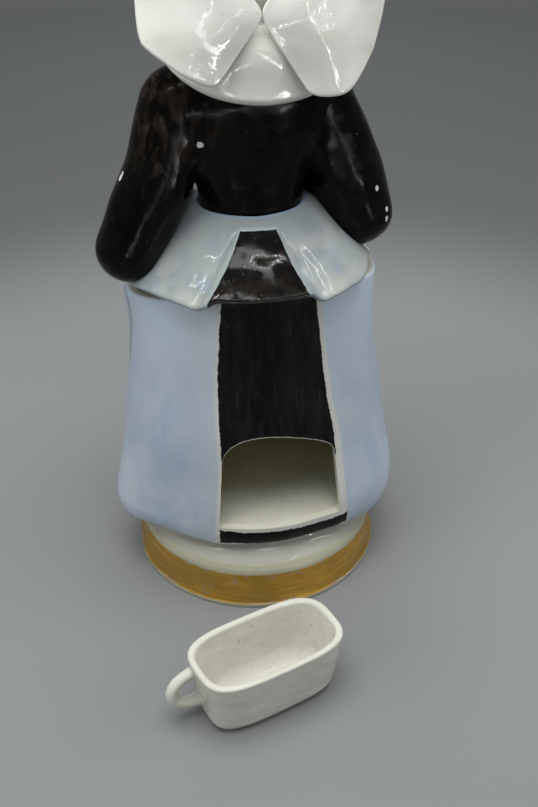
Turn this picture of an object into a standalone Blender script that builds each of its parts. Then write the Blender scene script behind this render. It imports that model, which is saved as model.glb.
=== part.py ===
"""Porcelain night-light teapot in the form of a woman in a winged cap.

The skirt is the warmer: a gilded plinth, a petticoat and a skirt wall with an arched opening at the
back, behind which the burner cup stands on a raised floor. The upper body is the teapot: its
reservoir hangs inside the skirt on a ledge, the bodice is the upper half of the vessel, and the jug
in the hands is the spout. Head, cap and wings are the lid. The burner cup stands on the table
behind the figure.

Lengths are in metres. +Z is up, the figure looks along -Y, and +X is its left-hand side.
Angles round the figure start at its back (+Y) and grow towards +X.
"""
import math

import bmesh
import bpy
import numpy as np
from mathutils import Vector

# Fits between the pieces
CLEARANCE = 0.0003
CUT_OVERRUN = 0.006
EDGE_ROUNDING = 0.0009

# Plinth
PLINTH_RADIUS = 0.060
PLINTH_RIM_HEIGHT = 0.0021
PLINTH_RIM_STEP = 0.0006
BAND_LEAN = 0.0017
BAND_HEIGHT = 0.0172
PLINTH_SHOULDER_STEP = 0.0022
PLINTH_HEIGHT = 0.0235
PLINTH_WALL = 0.0048
PLINTH_SHOULDER_SHARES = (
    # height above the band, way in to the shoulder
    (0.45, 0.23),
    (0.84, 0.60),
)

# Skirt wall
HEM_RISE = 0.0090
SKIRT_HEIGHT = 0.1185
SKIRT_BACK_RISE = 0.0090
SKIRT_HALF_WIDTH = 0.0690
SKIRT_HALF_DEPTH = 0.0526
SKIRT_CENTRE_Y = -0.0009
SKIRT_WALL = 0.0040
SKIRT_SHARES = (
    # height, half width, half depth
    (0.00, 0.972, 0.972),
    (0.04, 0.994, 0.994),
    (0.10, 1.000, 1.000),
    (0.28, 0.964, 0.958),
    (0.47, 0.918, 0.905),
    (0.67, 0.862, 0.856),
    (0.82, 0.830, 0.838),
    (1.00, 0.822, 0.835),
)
SKIRT_ROW_SHARES = (0.04, 0.10, 0.28, 0.52, 0.76, 1)
SKIRT_HEM_Z = PLINTH_HEIGHT + HEM_RISE
SKIRT_TOP_Z = SKIRT_HEM_Z + SKIRT_HEIGHT

# Petticoat and floor of the burner chamber
PETTICOAT_OVERLAP = 0.0052
PETTICOAT_WALL = 0.0035
PETTICOAT_ROW_SHARES = (0, 0.5, 1)
PETTICOAT_BELL_SHARE = 1.3
FLOOR_THICKNESS = 0.0040
FLOOR_Z = SKIRT_HEM_Z + PETTICOAT_OVERLAP + CLEARANCE

# Arched opening in the back of the skirt
OPENING_CENTRE_X = -0.0015
OPENING_HALF_WIDTH = 0.0266
OPENING_SILL_SPREAD = 0.0024
OPENING_SILL_RISE = 0.0005
OPENING_SIDE_HEIGHT = 0.0370
OPENING_ARCH_RISE = 0.0100

# Apron over the front of the skirt
APRON_EDGE_SHARE = 0.265
APRON_SIDE_SHARE = 0.55
APRON_THICKNESS = 0.0017
APRON_HEM_THICKNESS = 0.0011
APRON_TOP_FLARE = 0.0008

# Ledge that the teapot stands on
LEDGE_DEPTH = 0.0050
LEDGE_THICKNESS = 0.0040
LEDGE_WIDTH = 0.0065
LEDGE_Z = SKIRT_TOP_Z - LEDGE_DEPTH

# Reservoir; the teapot's heights from here on are measured from the ledge
FLANGE_PLAY = 0.0016
FLANGE_THICKNESS = 0.0038
RESERVOIR_PLAY = 0.0016
RESERVOIR_DEPTH = 0.0500
RESERVOIR_BOTTOM_SHARE = 0.66
RESERVOIR_CORNER = 0.0120
RESERVOIR_CORNER_SHARES = (0.35, 0.65, 1)
RESERVOIR_WALL = 0.0035
RESERVOIR_NECK_INSET = 0.0004
SHOULDER_SHARES = (
    # height above the flange, width from the neck out to the body
    (0.00, 1.00),
    (0.05, 0.96),
    (0.25, 0.66),
    (0.50, 0.32),
    (0.75, 0.09),
    (1.00, 0.00),
)

# Bodice, the upper half of the vessel
WAIST_HEIGHT = 0.0400
BODICE_HEIGHT = 0.0700
BODICE_HALF_WIDTH = 0.0375
BODICE_HALF_DEPTH = 0.0235
BODICE_WALL = 0.0035
BODICE_SQUARENESS_SHARE = 2.2
RIM_RADIUS = 0.0160
BODICE_SHARES = (
    # height, half width, half depth, place forward
    (0.00, 0.590, 0.860, 0.00),
    (0.12, 0.620, 0.880, 0.00),
    (0.27, 0.735, 0.930, 0.06),
    (0.42, 0.870, 1.000, 0.11),
    (0.56, 0.965, 1.000, 0.08),
    (0.70, 1.000, 0.930, 0.02),
    (0.82, 0.860, 0.820, 0.00),
    (0.92, 0.560, 0.720, 0.00),
    (1.00, RIM_RADIUS / BODICE_HALF_WIDTH, RIM_RADIUS / BODICE_HALF_DEPTH, 0.00),
)
BODICE_TOP = WAIST_HEIGHT + BODICE_HEIGHT
MOUTH_RADIUS = RIM_RADIUS - BODICE_WALL

# Pleated peplum round the waist
PEPLUM_OVERLAP = 0.0015
PEPLUM_DROP = 0.0245
PEPLUM_WAIST_MARGIN = 0.0020
PEPLUM_THICKNESS = 0.0028
PEPLUM_INSET = 0.0046
PEPLUM_SIDE_INSET = 0.0210
PEPLUM_TURN_SHARE = 0.020
PEPLUM_EDGE_SHARES = (
    # turn from the middle of the back panel, reach, drop of the edge
    (0.000, 1.000, 0.00),
    (0.045, 1.020, 0.00),
    (0.066, 1.045, 0.00),
    (0.078, 1.095, 0.10),
    (0.098, 1.120, 0.07),
    (0.125, 1.100, 0.02),
    (0.165, 1.080, 0.00),
    (0.205, 1.080, 0.05),
    (0.235, 1.090, 0.12),
    (0.270, 1.040, 0.19),
    (0.340, 0.940, 0.27),
    (0.420, 0.880, 0.33),
    (0.500, 0.860, 0.36),
)
PEPLUM_FALL_SHARES = (
    # way out from the waist, fall
    (0.00, 0.00),
    (0.12, 0.05),
    (0.35, 0.27),
    (0.65, 0.62),
    (1.00, 1.00),
)
PANEL_TOP_TURN_SHARE = 0.052
PANEL_EDGE_TURN_SHARE = 0.066
PANEL_STEP_TURN_SHARE = 0.010
PANEL_COLUMN_SHARES = (-1, -0.5, 0, 0.5, 1)
PANEL_RELIEF = 0.0014

# Arms: shoulders from the bodice's side at the neck, elbows from its side at the waist, wrists from
# the jug's foot, each out, back and up
SHOULDER = {
    "left": Vector((-0.0065, 0.0000, -0.0250)),
    "right": Vector((-0.0075, 0.0000, -0.0270)),
}
ELBOW = {
    "left": Vector((0.0175, 0.0080, -0.0160)),
    "right": Vector((0.0113, 0.0050, -0.0115)),
}
WRIST = Vector((0.0155, 0.0075, 0.0110))
UPPER_ARM_BULGE = Vector((0.0020, 0.0010, 0.0030))
FOREARM_SAG = Vector((-0.0040, 0.0005, 0.0045))
SLEEVE_RADIUS = 0.0150
UPPER_ARM_SHARES = (0.93, 0.99, 1.00, 1.00, 1.00)
FOREARM_SHARES = (0.98, 1.02, 0.88, 0.62)
CUFF_LENGTH = 0.0070
CUFF_RADIUS = 0.0096
CUFF_FLARE = 0.0009
GRIP_TURNS = (math.radians(20), math.radians(50), math.radians(84))
GRIP_HEIGHT_SHARE = 0.40
HAND_HALF_WIDTH = 0.0072
HAND_HALF_THICKNESS = 0.0042
HAND_SHARES = (
    # way from the wrist, half width, half thickness
    (0.00, 0.72, 1.10),
    (0.20, 0.80, 1.05),
    (0.45, 1.00, 1.00),
    (0.70, 0.98, 0.85),
    (0.88, 0.78, 0.70),
    (1.00, 0.40, 0.35),
)

# Jug in the hands, which is the spout
JUG_STANDOFF = 0.0065
JUG_FOOT_DROP = 0.0130
JUG_HEIGHT = 0.0390
JUG_RADIUS = 0.0135
JUG_WALL = 0.0021
JUG_LIP_REACH = 0.0065
JUG_LIP_RISE = 0.0030
JUG_SHARES = (
    # height, radius, share of the lip
    (0.00, 0.62, 0.00),
    (0.06, 0.70, 0.00),
    (0.34, 1.00, 0.00),
    (0.60, 0.84, 0.00),
    (0.78, 0.66, 0.10),
    (0.90, 0.70, 0.55),
    (1.00, 0.82, 1.00),
)
JUG_FOOT = WAIST_HEIGHT - JUG_FOOT_DROP
JUG_CENTRE_Y = -BODICE_HALF_DEPTH - JUG_STANDOFF - JUG_RADIUS
SPOUT_BORE_RADIUS = 0.0026
SPOUT_NECK_WALL = 0.0022
SPOUT_RISE = 0.0080

# Collar
COLLAR_HEIGHT = 0.0181
COLLAR_TOP_DROP = 0.0004
COLLAR_SIDE_RISE = 0.0080
COLLAR_TILT = 0.0030
COLLAR_SIDE_OVERHANG = 0.0015
COLLAR_BACK_OVERHANG = 0.0023
COLLAR_THICKNESS = 0.0026
COLLAR_SQUARENESS_SHARE = 2.1
COLLAR_SHARES = (
    # way up, half width and half depth between the neck and the edge, height
    (0.00, 1.00, 1.00, 0.00),
    (0.20, 0.90, 0.97, 0.26),
    (0.45, 0.66, 0.80, 0.58),
    (0.70, 0.34, 0.45, 0.83),
    (0.88, 0.10, 0.13, 0.96),
    (1.00, 0.00, 0.00, 1.00),
)
COLLAR_HALF_WIDTH = BODICE_HALF_WIDTH + COLLAR_SIDE_OVERHANG
COLLAR_HALF_DEPTH = BODICE_HALF_DEPTH + COLLAR_BACK_OVERHANG
COLLAR_TOP = BODICE_TOP - COLLAR_TOP_DROP

# Lid: plug, head, cap and wings; its heights are measured from the rim of the neck
PLUG_CLEARANCE = 0.0006
PLUG_DEPTH = 0.0070
PLUG_WALL = 0.0025
LID_FLANGE_INSET = 0.0004
LID_FLANGE_THICKNESS = 0.0026
LID_FLANGE_TOP = CLEARANCE + LID_FLANGE_THICKNESS
NECK_RADIUS = 0.0082
NECK_LENGTH = 0.0026
NECK_TOP_SHARE = -0.86
HEAD_CENTRE_Y = -0.0010
HEAD_HALF_WIDTH = 0.0142
HEAD_HALF_DEPTH = 0.0166
HEAD_HALF_HEIGHT = 0.0200
HEAD_STEP_SHARES = (-0.58, -0.47, -0.34, -0.20, -0.07, 0.06, 0.20, 0.36, 0.55, 0.75, 0.92)
JAW_SHARE = 0.20
FACE_SHARES = (
    # half width, place up, half height, push forward of the nose, the chin and the brow
    (0.20, -0.10, 0.20, 0.16),
    (0.35, -0.74, 0.16, 0.10),
    (2.00, 0.22, 0.10, 0.03),
)
HEAD_CENTRE = Vector((0, HEAD_CENTRE_Y, LID_FLANGE_TOP + NECK_LENGTH + HEAD_HALF_HEIGHT))
CAP_BACK = 0.0030
CAP_RISE = 0.0025
CAP_SIDE_THICKNESS = 0.0040
CAP_BACK_THICKNESS = 0.0024
CAP_CROWN_THICKNESS = 0.0025
CAP_NAPE_SHARE = 0.60
CAP_SHARES = (
    # height from the middle, half width and half depth
    (-0.85, 0.66),
    (-0.55, 0.86),
    (-0.20, 0.98),
    (0.10, 1.00),
    (0.40, 0.92),
    (0.65, 0.76),
    (0.85, 0.53),
    (0.97, 0.25),
)
CAP_FACE_REACH = 0.0070
CAP_FACE_SLOPE_SHARE = 0.24
CAP_BAND_RADIUS = 0.0021
CAP_BAND_ROWS = 13
CAP_BAND_ARC_SHARES = (-0.22, 1.22)
CAP_BAND_PLACE_SHARE = 0.925
CAP_CENTRE = HEAD_CENTRE + Vector((0, CAP_BACK, CAP_RISE))
CAP_HALF_WIDTH = HEAD_HALF_WIDTH + CAP_SIDE_THICKNESS
CAP_HALF_DEPTH = HEAD_HALF_DEPTH + CAP_BACK_THICKNESS
CAP_HALF_HEIGHT = HEAD_HALF_HEIGHT + CAP_CROWN_THICKNESS
WING_SPAN = 0.0490
WING_TIP_DROP = 0.0115
WING_HEIGHT = 0.0620
WING_STANDOFF = 0.0022
WING_THICKNESS = 0.0031
WING_EDGE_THICKNESS_SHARE = 0.55
WING_CORNER_SHARE = 0.05
WING_STEP_SHARE = 0.01
WING_SHARES = {
    # bands from the lower edge up, each with places outward from the nape: span, back, height
    "left": (
        ((0.40, 1.00, 0.00), (0.66, 1.07, 0.12), (0.94, 1.02, 0.32)),
        ((0.00, 0.88, 0.36), (0.44, 0.98, 0.42), (0.965, 0.88, 0.50)),
        ((0.00, 0.78, 0.66), (0.42, 0.82, 0.72), (0.93, 0.62, 0.79)),
        ((0.12, 0.50, 0.93), (0.36, 0.44, 1.00), (0.70, 0.26, 0.99)),
    ),
    "right": (
        ((0.37, 1.00, -0.10), (0.66, 1.07, -0.08), (0.91, 1.02, 0.20)),
        ((0.00, 0.88, 0.36), (0.46, 0.98, 0.38), (1.00, 0.88, 0.46)),
        ((0.00, 0.78, 0.66), (0.44, 0.82, 0.70), (0.97, 0.62, 0.77)),
        ((0.12, 0.50, 0.93), (0.36, 0.44, 1.00), (0.70, 0.26, 0.99)),
    ),
}
WING_BACK = COLLAR_HALF_DEPTH + WING_STANDOFF

# Burner cup on the table behind the figure
CUP_X = 0.0211
CUP_DISTANCE = 0.0509
CUP_ANGLE = math.radians(16.2)
CUP_HALF_LENGTH = 0.0339
CUP_HALF_WIDTH = 0.0188
CUP_HEIGHT = 0.0322
CUP_TAPER = 0.0043
CUP_WALL = 0.0030
CUP_FLOOR = 0.0034
CUP_FOOT_ROUNDING = 0.0030
CUP_SQUARENESS_SHARE = 3.5
CUP_HANDLE_SIDE = -0.0060
CUP_HANDLE_TOP_DROP = 0.0047
CUP_HANDLE_LOW_Z = 0.0085
CUP_HANDLE_REACH = 0.0105
CUP_HANDLE_RADIUS = 0.0027
CUP_HANDLE_ROWS = 11
CUP_HANDLE_ROUND_SHARE = 0.8

# Facet counts and angles
SKIRT_SIDES = 40
BODY_SIDES = 28
RESERVOIR_SIDES = 24
HEAD_SIDES = 24
SMALL_SIDES = 14
ARCH_STEPS = 9
BODICE_ROWS = 8
COLLAR_ROWS = 5
JUG_ROWS = 7
PEPLUM_SIDES = 48
PEPLUM_ROWS = 4
WING_COLUMNS = 8
WING_ROWS = 8
SMOOTHING_ANGLE = math.radians(42)
DOME_TURNS = (math.radians(22), math.radians(48), math.radians(72))


def spline(rows, share):
    """The columns of rows at a share of the first column, on a smooth curve through the rows."""
    table = np.asarray(rows, float)
    keys = table[:, 0]
    values = table[:, 1:]
    slopes = np.gradient(values, keys, axis=0)
    low = int(np.clip(np.searchsorted(keys, share) - 1, 0, len(keys) - 2))
    width = keys[low + 1] - keys[low]
    s = (share - keys[low]) / width
    start = (2 * s**3 - 3 * s**2 + 1) * values[low] + (s**3 - 2 * s**2 + s) * width * slopes[low]
    end = (3 * s**2 - 2 * s**3) * values[low + 1] + (s**3 - s**2) * width * slopes[low + 1]
    return start + end


def shares(count):
    """Evenly spaced shares from 0 to 1."""
    return [i / (count - 1) for i in range(count)]


def blend(low, high, share):
    return low + (high - low) * share


def oval(half_x, half_y, z, sides, centre=(0, 0), power=2):
    """A closed ring of points, an ellipse or a squarer form of one, starting at the back."""
    ring = []
    for i in range(sides):
        angle = 2 * math.pi * i / sides
        across = math.copysign(abs(math.sin(angle)) ** (2 / power), math.sin(angle))
        along = math.copysign(abs(math.cos(angle)) ** (2 / power), math.cos(angle))
        ring.append(Vector((centre[0] + half_x * across, centre[1] + half_y * along, z)))
    return ring


def glaze(name, colour, roughness, metallic=0.0):
    material = bpy.data.materials.new(name)
    material.use_nodes = True
    shader = material.node_tree.nodes["Principled BSDF"]
    shader.inputs["Base Color"].default_value = (*colour, 1.0)
    shader.inputs["Roughness"].default_value = roughness
    shader.inputs["Metallic"].default_value = metallic
    return material


def empty(name, location, parent=None, turn=0.0):
    marker = bpy.data.objects.new(name, None)
    bpy.context.scene.collection.objects.link(marker)
    marker.location = location
    marker.rotation_euler.z = turn
    marker.parent = parent
    return marker


def solid(name, rings, material, parent, location=(0, 0, 0), endless=False, cutter=False):
    """An object whose faces join each ring to the next; its ends are filled, or joined if endless."""
    form = bmesh.new()
    loops = [[form.verts.new(point) for point in ring] for ring in rings]
    pairs = list(zip(loops, loops[1:]))
    if endless:
        pairs.append((loops[-1], loops[0]))
    else:
        form.faces.new(loops[0])
        form.faces.new(loops[-1])
    for lower, upper in pairs:
        for i in range(len(lower)):
            j = (i + 1) % len(lower)
            form.faces.new((lower[i], lower[j], upper[j], upper[i]))
    bmesh.ops.recalc_face_normals(form, faces=form.faces)
    mesh = bpy.data.meshes.new(name)
    form.to_mesh(mesh)
    form.free()
    mesh.shade_smooth()
    mesh.set_sharp_from_angle(angle=SMOOTHING_ANGLE)
    mesh.materials.append(material)
    piece = bpy.data.objects.new(name, mesh)
    bpy.context.scene.collection.objects.link(piece)
    piece.parent = parent
    piece.location = location
    if cutter:
        hide_cutter(piece)
    return piece


def hide_cutter(piece):
    piece.hide_render = True
    piece.display_type = "WIRE"


def subtract(piece, cutter, solver="EXACT"):
    cut = piece.modifiers.new("cut by " + cutter.name, "BOOLEAN")
    cut.operation = "DIFFERENCE"
    cut.solver = solver
    cut.object = cutter


def clearance_of(neighbour, as_cut=False):
    """A piece's form, or the piece as cut, grown all over by the clearance, for cutting what seats on it."""
    name = neighbour.name + "_clearance"
    if name in bpy.data.objects:
        return bpy.data.objects[name]
    grown = neighbour.copy()
    grown.name = name
    if not as_cut:
        grown.modifiers.clear()
    bpy.context.scene.collection.objects.link(grown)
    hide_cutter(grown)
    growth = grown.modifiers.new("clearance", "DISPLACE")
    growth.mid_level = 0.0
    growth.strength = CLEARANCE
    return grown


def seat_on(piece, *neighbours, solver="EXACT"):
    """Cuts a piece back to the clearance round each neighbour."""
    for neighbour in neighbours:
        subtract(piece, clearance_of(neighbour), solver)


def turned(profile, sides, centre=(0, 0)):
    """Round rings for a profile of (radius, z)."""
    return [oval(radius, radius, z, sides, centre) for radius, z in profile]


def swept(path, sizes, sides, flat_axis=None):
    """Rings square to a path of points, each with half sizes along and across flat_axis."""
    rings = []
    axis = flat_axis
    for i, point in enumerate(path):
        ahead = path[min(i + 1, len(path) - 1)]
        behind = path[max(i - 1, 0)]
        along = (ahead - behind).normalized()
        if axis is None:
            axis = along.orthogonal()
        side = (axis - along * axis.dot(along)).normalized()
        if flat_axis is None:
            axis = side
        other = along.cross(side)
        wide, thick = sizes[i]
        ring = []
        for k in range(sides):
            angle = 2 * math.pi * k / sides
            ring.append(point + side * wide * math.cos(angle) + other * thick * math.sin(angle))
        rings.append(ring)
    return rings


def limb(path, radii, sides, domed_end=True):
    """Rings along a path, starting and, if wanted, ending in a round dome."""
    stations = []
    start_way = (path[0] - path[1]).normalized()
    for turn in DOME_TURNS:
        stations.append((path[0] + start_way * radii[0] * math.cos(turn), radii[0] * math.sin(turn)))
    stations += list(zip(path, radii))
    if domed_end:
        end_way = (path[-1] - path[-2]).normalized()
        for turn in DOME_TURNS[::-1]:
            stations.append((path[-1] + end_way * radii[-1] * math.cos(turn), radii[-1] * math.sin(turn)))
    points = [point for point, radius in stations]
    return swept(points, [(radius, radius) for point, radius in stations], sides)


def skirt_half(z):
    """Half width and half depth of the skirt's outside at a height."""
    share = min(max((z - SKIRT_HEM_Z) / (SKIRT_TOP_Z - SKIRT_HEM_Z), 0), 1)
    width_share, depth_share = spline(SKIRT_SHARES, share)
    return SKIRT_HALF_WIDTH * width_share, SKIRT_HALF_DEPTH * depth_share


def skirt_ring(z, inset, sides=SKIRT_SIDES, back_rise=0.0):
    """A ring inside the skirt's outer face by inset, raised at the back by up to back_rise."""
    half_x, half_y = skirt_half(z)
    ring = oval(half_x - inset, half_y - inset, z, sides, (0, SKIRT_CENTRE_Y))
    for i, point in enumerate(ring):
        point.z += back_rise * max(math.cos(2 * math.pi * i / sides), 0) ** 2
    return ring


def lowered(rings, height):
    """The rings with their heights measured from a height."""
    return [[point - Vector((0, 0, height)) for point in ring] for ring in rings]


def build_plinth(parent, material):
    band_bottom = PLINTH_RADIUS - PLINTH_RIM_STEP
    band_top = band_bottom - BAND_LEAN
    band_top_z = PLINTH_RIM_HEIGHT + BAND_HEIGHT
    profile = [
        (PLINTH_RADIUS - PLINTH_WALL, 0),
        (PLINTH_RADIUS - EDGE_ROUNDING, 0),
        (PLINTH_RADIUS, EDGE_ROUNDING),
        (PLINTH_RADIUS, PLINTH_RIM_HEIGHT),
        (band_bottom, PLINTH_RIM_HEIGHT + EDGE_ROUNDING / 2),
        (band_top, band_top_z),
    ]
    for up, way_in in PLINTH_SHOULDER_SHARES:
        radius = band_top - PLINTH_SHOULDER_STEP * way_in
        profile.append((radius, blend(band_top_z, PLINTH_HEIGHT, up)))
    top = band_top - PLINTH_SHOULDER_STEP
    profile += [(top, PLINTH_HEIGHT), (top - PLINTH_WALL, PLINTH_HEIGHT)]
    return solid("plinth", turned(profile, SKIRT_SIDES), material, parent, endless=True)


def build_petticoat(parent, material):
    """A wall from the round plinth to the oval inside of the skirt's hem."""
    base_z = PLINTH_HEIGHT + CLEARANCE
    foot = PLINTH_RADIUS - PLINTH_RIM_STEP - BAND_LEAN - PLINTH_SHOULDER_STEP
    seat = SKIRT_WALL + CLEARANCE
    hem_x, hem_y = skirt_half(SKIRT_HEM_Z)
    outer = []
    inner = []
    for share in PETTICOAT_ROW_SHARES:
        z = blend(base_z, SKIRT_HEM_Z, share)
        bell = share**PETTICOAT_BELL_SHARE
        half_x = blend(foot, hem_x - seat, bell)
        half_y = blend(foot, hem_y - seat, bell)
        centre = (0, SKIRT_CENTRE_Y * bell)
        outer.append(oval(half_x, half_y, z, SKIRT_SIDES, centre))
        inner.append(oval(half_x - PETTICOAT_WALL, half_y - PETTICOAT_WALL, z, SKIRT_SIDES, centre))
    outer.append(skirt_ring(SKIRT_HEM_Z + PETTICOAT_OVERLAP, seat))
    inner.append(skirt_ring(SKIRT_HEM_Z + PETTICOAT_OVERLAP, seat + PETTICOAT_WALL))
    rings = lowered(outer + inner[::-1], base_z)
    return solid("petticoat", rings, material, parent, (0, 0, base_z), endless=True)


def build_floor(parent, material):
    rings = [skirt_ring(z, SKIRT_WALL + CLEARANCE) for z in (FLOOR_Z, FLOOR_Z + FLOOR_THICKNESS)]
    return solid("chamber_floor", lowered(rings, FLOOR_Z), material, parent, (0, 0, FLOOR_Z))


def build_opening_cutter(parent, material):
    """An arched block that runs back through the skirt's wall."""
    sill = FLOOR_Z + FLOOR_THICKNESS + OPENING_SILL_RISE
    spring = sill + OPENING_SIDE_HEIGHT
    low_half = OPENING_HALF_WIDTH + OPENING_SILL_SPREAD
    outline = [(low_half, sill), (OPENING_HALF_WIDTH, spring)]
    for i in range(1, ARCH_STEPS):
        turn = math.pi * i / ARCH_STEPS
        outline.append((OPENING_HALF_WIDTH * math.cos(turn), spring + OPENING_ARCH_RISE * math.sin(turn)))
    outline += [(-OPENING_HALF_WIDTH, spring), (-low_half, sill)]
    rings = []
    for y in (SKIRT_HALF_DEPTH / 2, SKIRT_HALF_DEPTH + CUT_OVERRUN):
        rings.append([Vector((x, y, z)) for x, z in outline])
    return solid("opening_cutter", rings, material, parent, (OPENING_CENTRE_X, 0, 0), cutter=True)


def build_skirt(parent, material):
    outer = []
    inner = []
    for share in SKIRT_ROW_SHARES:
        z = blend(SKIRT_HEM_Z, SKIRT_TOP_Z, share)
        rise = SKIRT_BACK_RISE * share**2
        outer.append(skirt_ring(z, 0, back_rise=rise))
        inner.append(skirt_ring(z, SKIRT_WALL, back_rise=rise))
    outer.insert(0, skirt_ring(SKIRT_HEM_Z + EDGE_ROUNDING, 0))
    outer.insert(0, skirt_ring(SKIRT_HEM_Z, EDGE_ROUNDING))
    inner.insert(0, skirt_ring(SKIRT_HEM_Z, SKIRT_WALL))
    piece = solid("skirt", outer + inner[::-1], material, parent, endless=True)
    subtract(piece, build_opening_cutter(parent, material))
    return piece


def build_apron(parent, material):
    """A layer over the front of the skirt, thickest at its top, with thin side edges."""
    first = round(SKIRT_SIDES * APRON_EDGE_SHARE)
    rings = []
    for share in SKIRT_ROW_SHARES:
        z = blend(SKIRT_HEM_Z, SKIRT_TOP_Z, share)
        thickness = blend(APRON_HEM_THICKNESS, APRON_THICKNESS, share) + APRON_TOP_FLARE * share**6
        inside = skirt_ring(z, -CLEARANCE)[first:SKIRT_SIDES - first + 1]
        outside = skirt_ring(z, -CLEARANCE - thickness)[first:SKIRT_SIDES - first + 1]
        for end in (0, -1):
            outside[end] = inside[end].lerp(outside[end], APRON_SIDE_SHARE)
        rings.append(outside + inside[::-1])
    return solid("apron", rings, material, parent)


def build_ledge(parent, material):
    outer = SKIRT_WALL + CLEARANCE
    rings = []
    for z, inset in (
        (LEDGE_Z - LEDGE_THICKNESS, outer),
        (LEDGE_Z, outer),
        (LEDGE_Z, outer + LEDGE_WIDTH),
        (LEDGE_Z - LEDGE_THICKNESS / 2, outer + LEDGE_WIDTH),
    ):
        rings.append(skirt_ring(z, inset))
    return solid("seat_ledge", lowered(rings, LEDGE_Z), material, parent, (0, 0, LEDGE_Z), endless=True)


def waist_half():
    """Half width and half depth of the reservoir's neck, just inside the foot of the bodice."""
    width_share, depth_share = BODICE_SHARES[0][1:3]
    half_x = BODICE_HALF_WIDTH * width_share - RESERVOIR_NECK_INSET
    half_y = BODICE_HALF_DEPTH * depth_share - RESERVOIR_NECK_INSET
    return half_x, half_y


def reservoir_profile():
    """Half width, half depth and height of the reservoir's outside, from its foot to its neck."""
    seat_x, seat_y = skirt_half(LEDGE_Z)
    hole = SKIRT_WALL + CLEARANCE + LEDGE_WIDTH + RESERVOIR_PLAY
    body_x = seat_x - hole
    body_y = seat_y - hole
    neck_x, neck_y = waist_half()
    flange = SKIRT_WALL + FLANGE_PLAY
    flange_top = CLEARANCE + FLANGE_THICKNESS
    rows = [(body_x * RESERVOIR_BOTTOM_SHARE, body_y * RESERVOIR_BOTTOM_SHARE, -RESERVOIR_DEPTH)]
    for turn in RESERVOIR_CORNER_SHARES:
        angle = turn * math.pi / 2
        out = blend(RESERVOIR_BOTTOM_SHARE, 1, math.sin(angle))
        z = RESERVOIR_CORNER * (1 - math.cos(angle)) - RESERVOIR_DEPTH
        rows.append((body_x * out, body_y * out, z))
    rows += [
        (body_x, body_y, CLEARANCE),
        (seat_x - flange, seat_y - flange, CLEARANCE),
        (seat_x - flange, seat_y - flange, flange_top),
    ]
    for up, out in SHOULDER_SHARES:
        z = blend(flange_top, WAIST_HEIGHT - CLEARANCE, up)
        rows.append((blend(neck_x, body_x, out), blend(neck_y, body_y, out), z))
    return rows


def build_reservoir(parent, material):
    """A vessel that hangs in the skirt by its flange; its neck opens into the bodice."""
    rows = reservoir_profile()
    wall = RESERVOIR_WALL
    inside_rows = [(x - wall, y - wall, z + wall) for x, y, z in rows[: 1 + len(RESERVOIR_CORNER_SHARES)]]
    inside_rows += [(x - wall, y - wall, z - wall) for x, y, z in rows[-len(SHOULDER_SHARES):]]
    neck_x, neck_y, neck_z = rows[-1]
    inside_rows.append((neck_x - wall, neck_y - wall, neck_z))
    rings = [oval(x, y, z, RESERVOIR_SIDES, (0, SKIRT_CENTRE_Y)) for x, y, z in rows + inside_rows[::-1]]
    return solid("reservoir", rings, material, parent)


def bodice_ring(share, inset, sides=BODY_SIDES):
    width, depth, forward = spline(BODICE_SHARES, share)
    half_x = BODICE_HALF_WIDTH * width - inset
    half_y = BODICE_HALF_DEPTH * depth - inset
    z = blend(WAIST_HEIGHT, BODICE_TOP, share)
    return oval(half_x, half_y, z, sides, (0, -BODICE_HALF_DEPTH * forward), BODICE_SQUARENESS_SHARE)


def spout_rod(radius):
    """Rings of a rod from inside the bodice, through its front wall, into the jug."""
    start = Vector((0, -BODICE_HALF_DEPTH / 2, WAIST_HEIGHT + SPOUT_RISE))
    end = Vector((0, JUG_CENTRE_Y + JUG_RADIUS / 3, WAIST_HEIGHT + SPOUT_RISE))
    return swept([start, end], [(radius, radius)] * 2, SMALL_SIDES)


def build_spout_neck(parent, material, bore, *neighbours):
    """The short tube between the bodice and the jug."""
    piece = solid("spout_neck", spout_rod(SPOUT_BORE_RADIUS + SPOUT_NECK_WALL), material, parent)
    seat_on(piece, *neighbours)
    subtract(piece, bore)
    return piece


def build_bodice(parent, material, bore):
    """The upper half of the vessel: a hollow bust, open at the waist and at the neck."""
    outside = [bodice_ring(share, 0) for share in shares(BODICE_ROWS)]
    inside = [bodice_ring(share, BODICE_WALL) for share in shares(BODICE_ROWS)[:-2]]
    neck_foot = outside[-2][0].z
    inside += turned(((MOUTH_RADIUS, neck_foot), (MOUTH_RADIUS, BODICE_TOP)), BODY_SIDES)
    piece = solid("bodice", outside + inside[::-1], material, parent, endless=True)
    subtract(piece, bore)
    return piece


def build_bodice_form(parent, material):
    """The bodice without its hollow, for cutting what is luted to its outside."""
    rings = [bodice_ring(share, 0) for share in shares(BODICE_ROWS)]
    return solid("bodice_form", rings, material, parent, cutter=True)


def peplum_turns(share):
    """Turns from the middle of the back panel at which the peplum's columns lie, share out."""
    panel_edge = blend(PANEL_TOP_TURN_SHARE, PANEL_EDGE_TURN_SHARE, share)
    turns = [panel_edge * place for place in PANEL_COLUMN_SHARES]
    start = panel_edge + PANEL_STEP_TURN_SHARE
    others = PEPLUM_SIDES - len(turns)
    return turns + [blend(start, 1 - start, place) for place in shares(others)]


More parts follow.
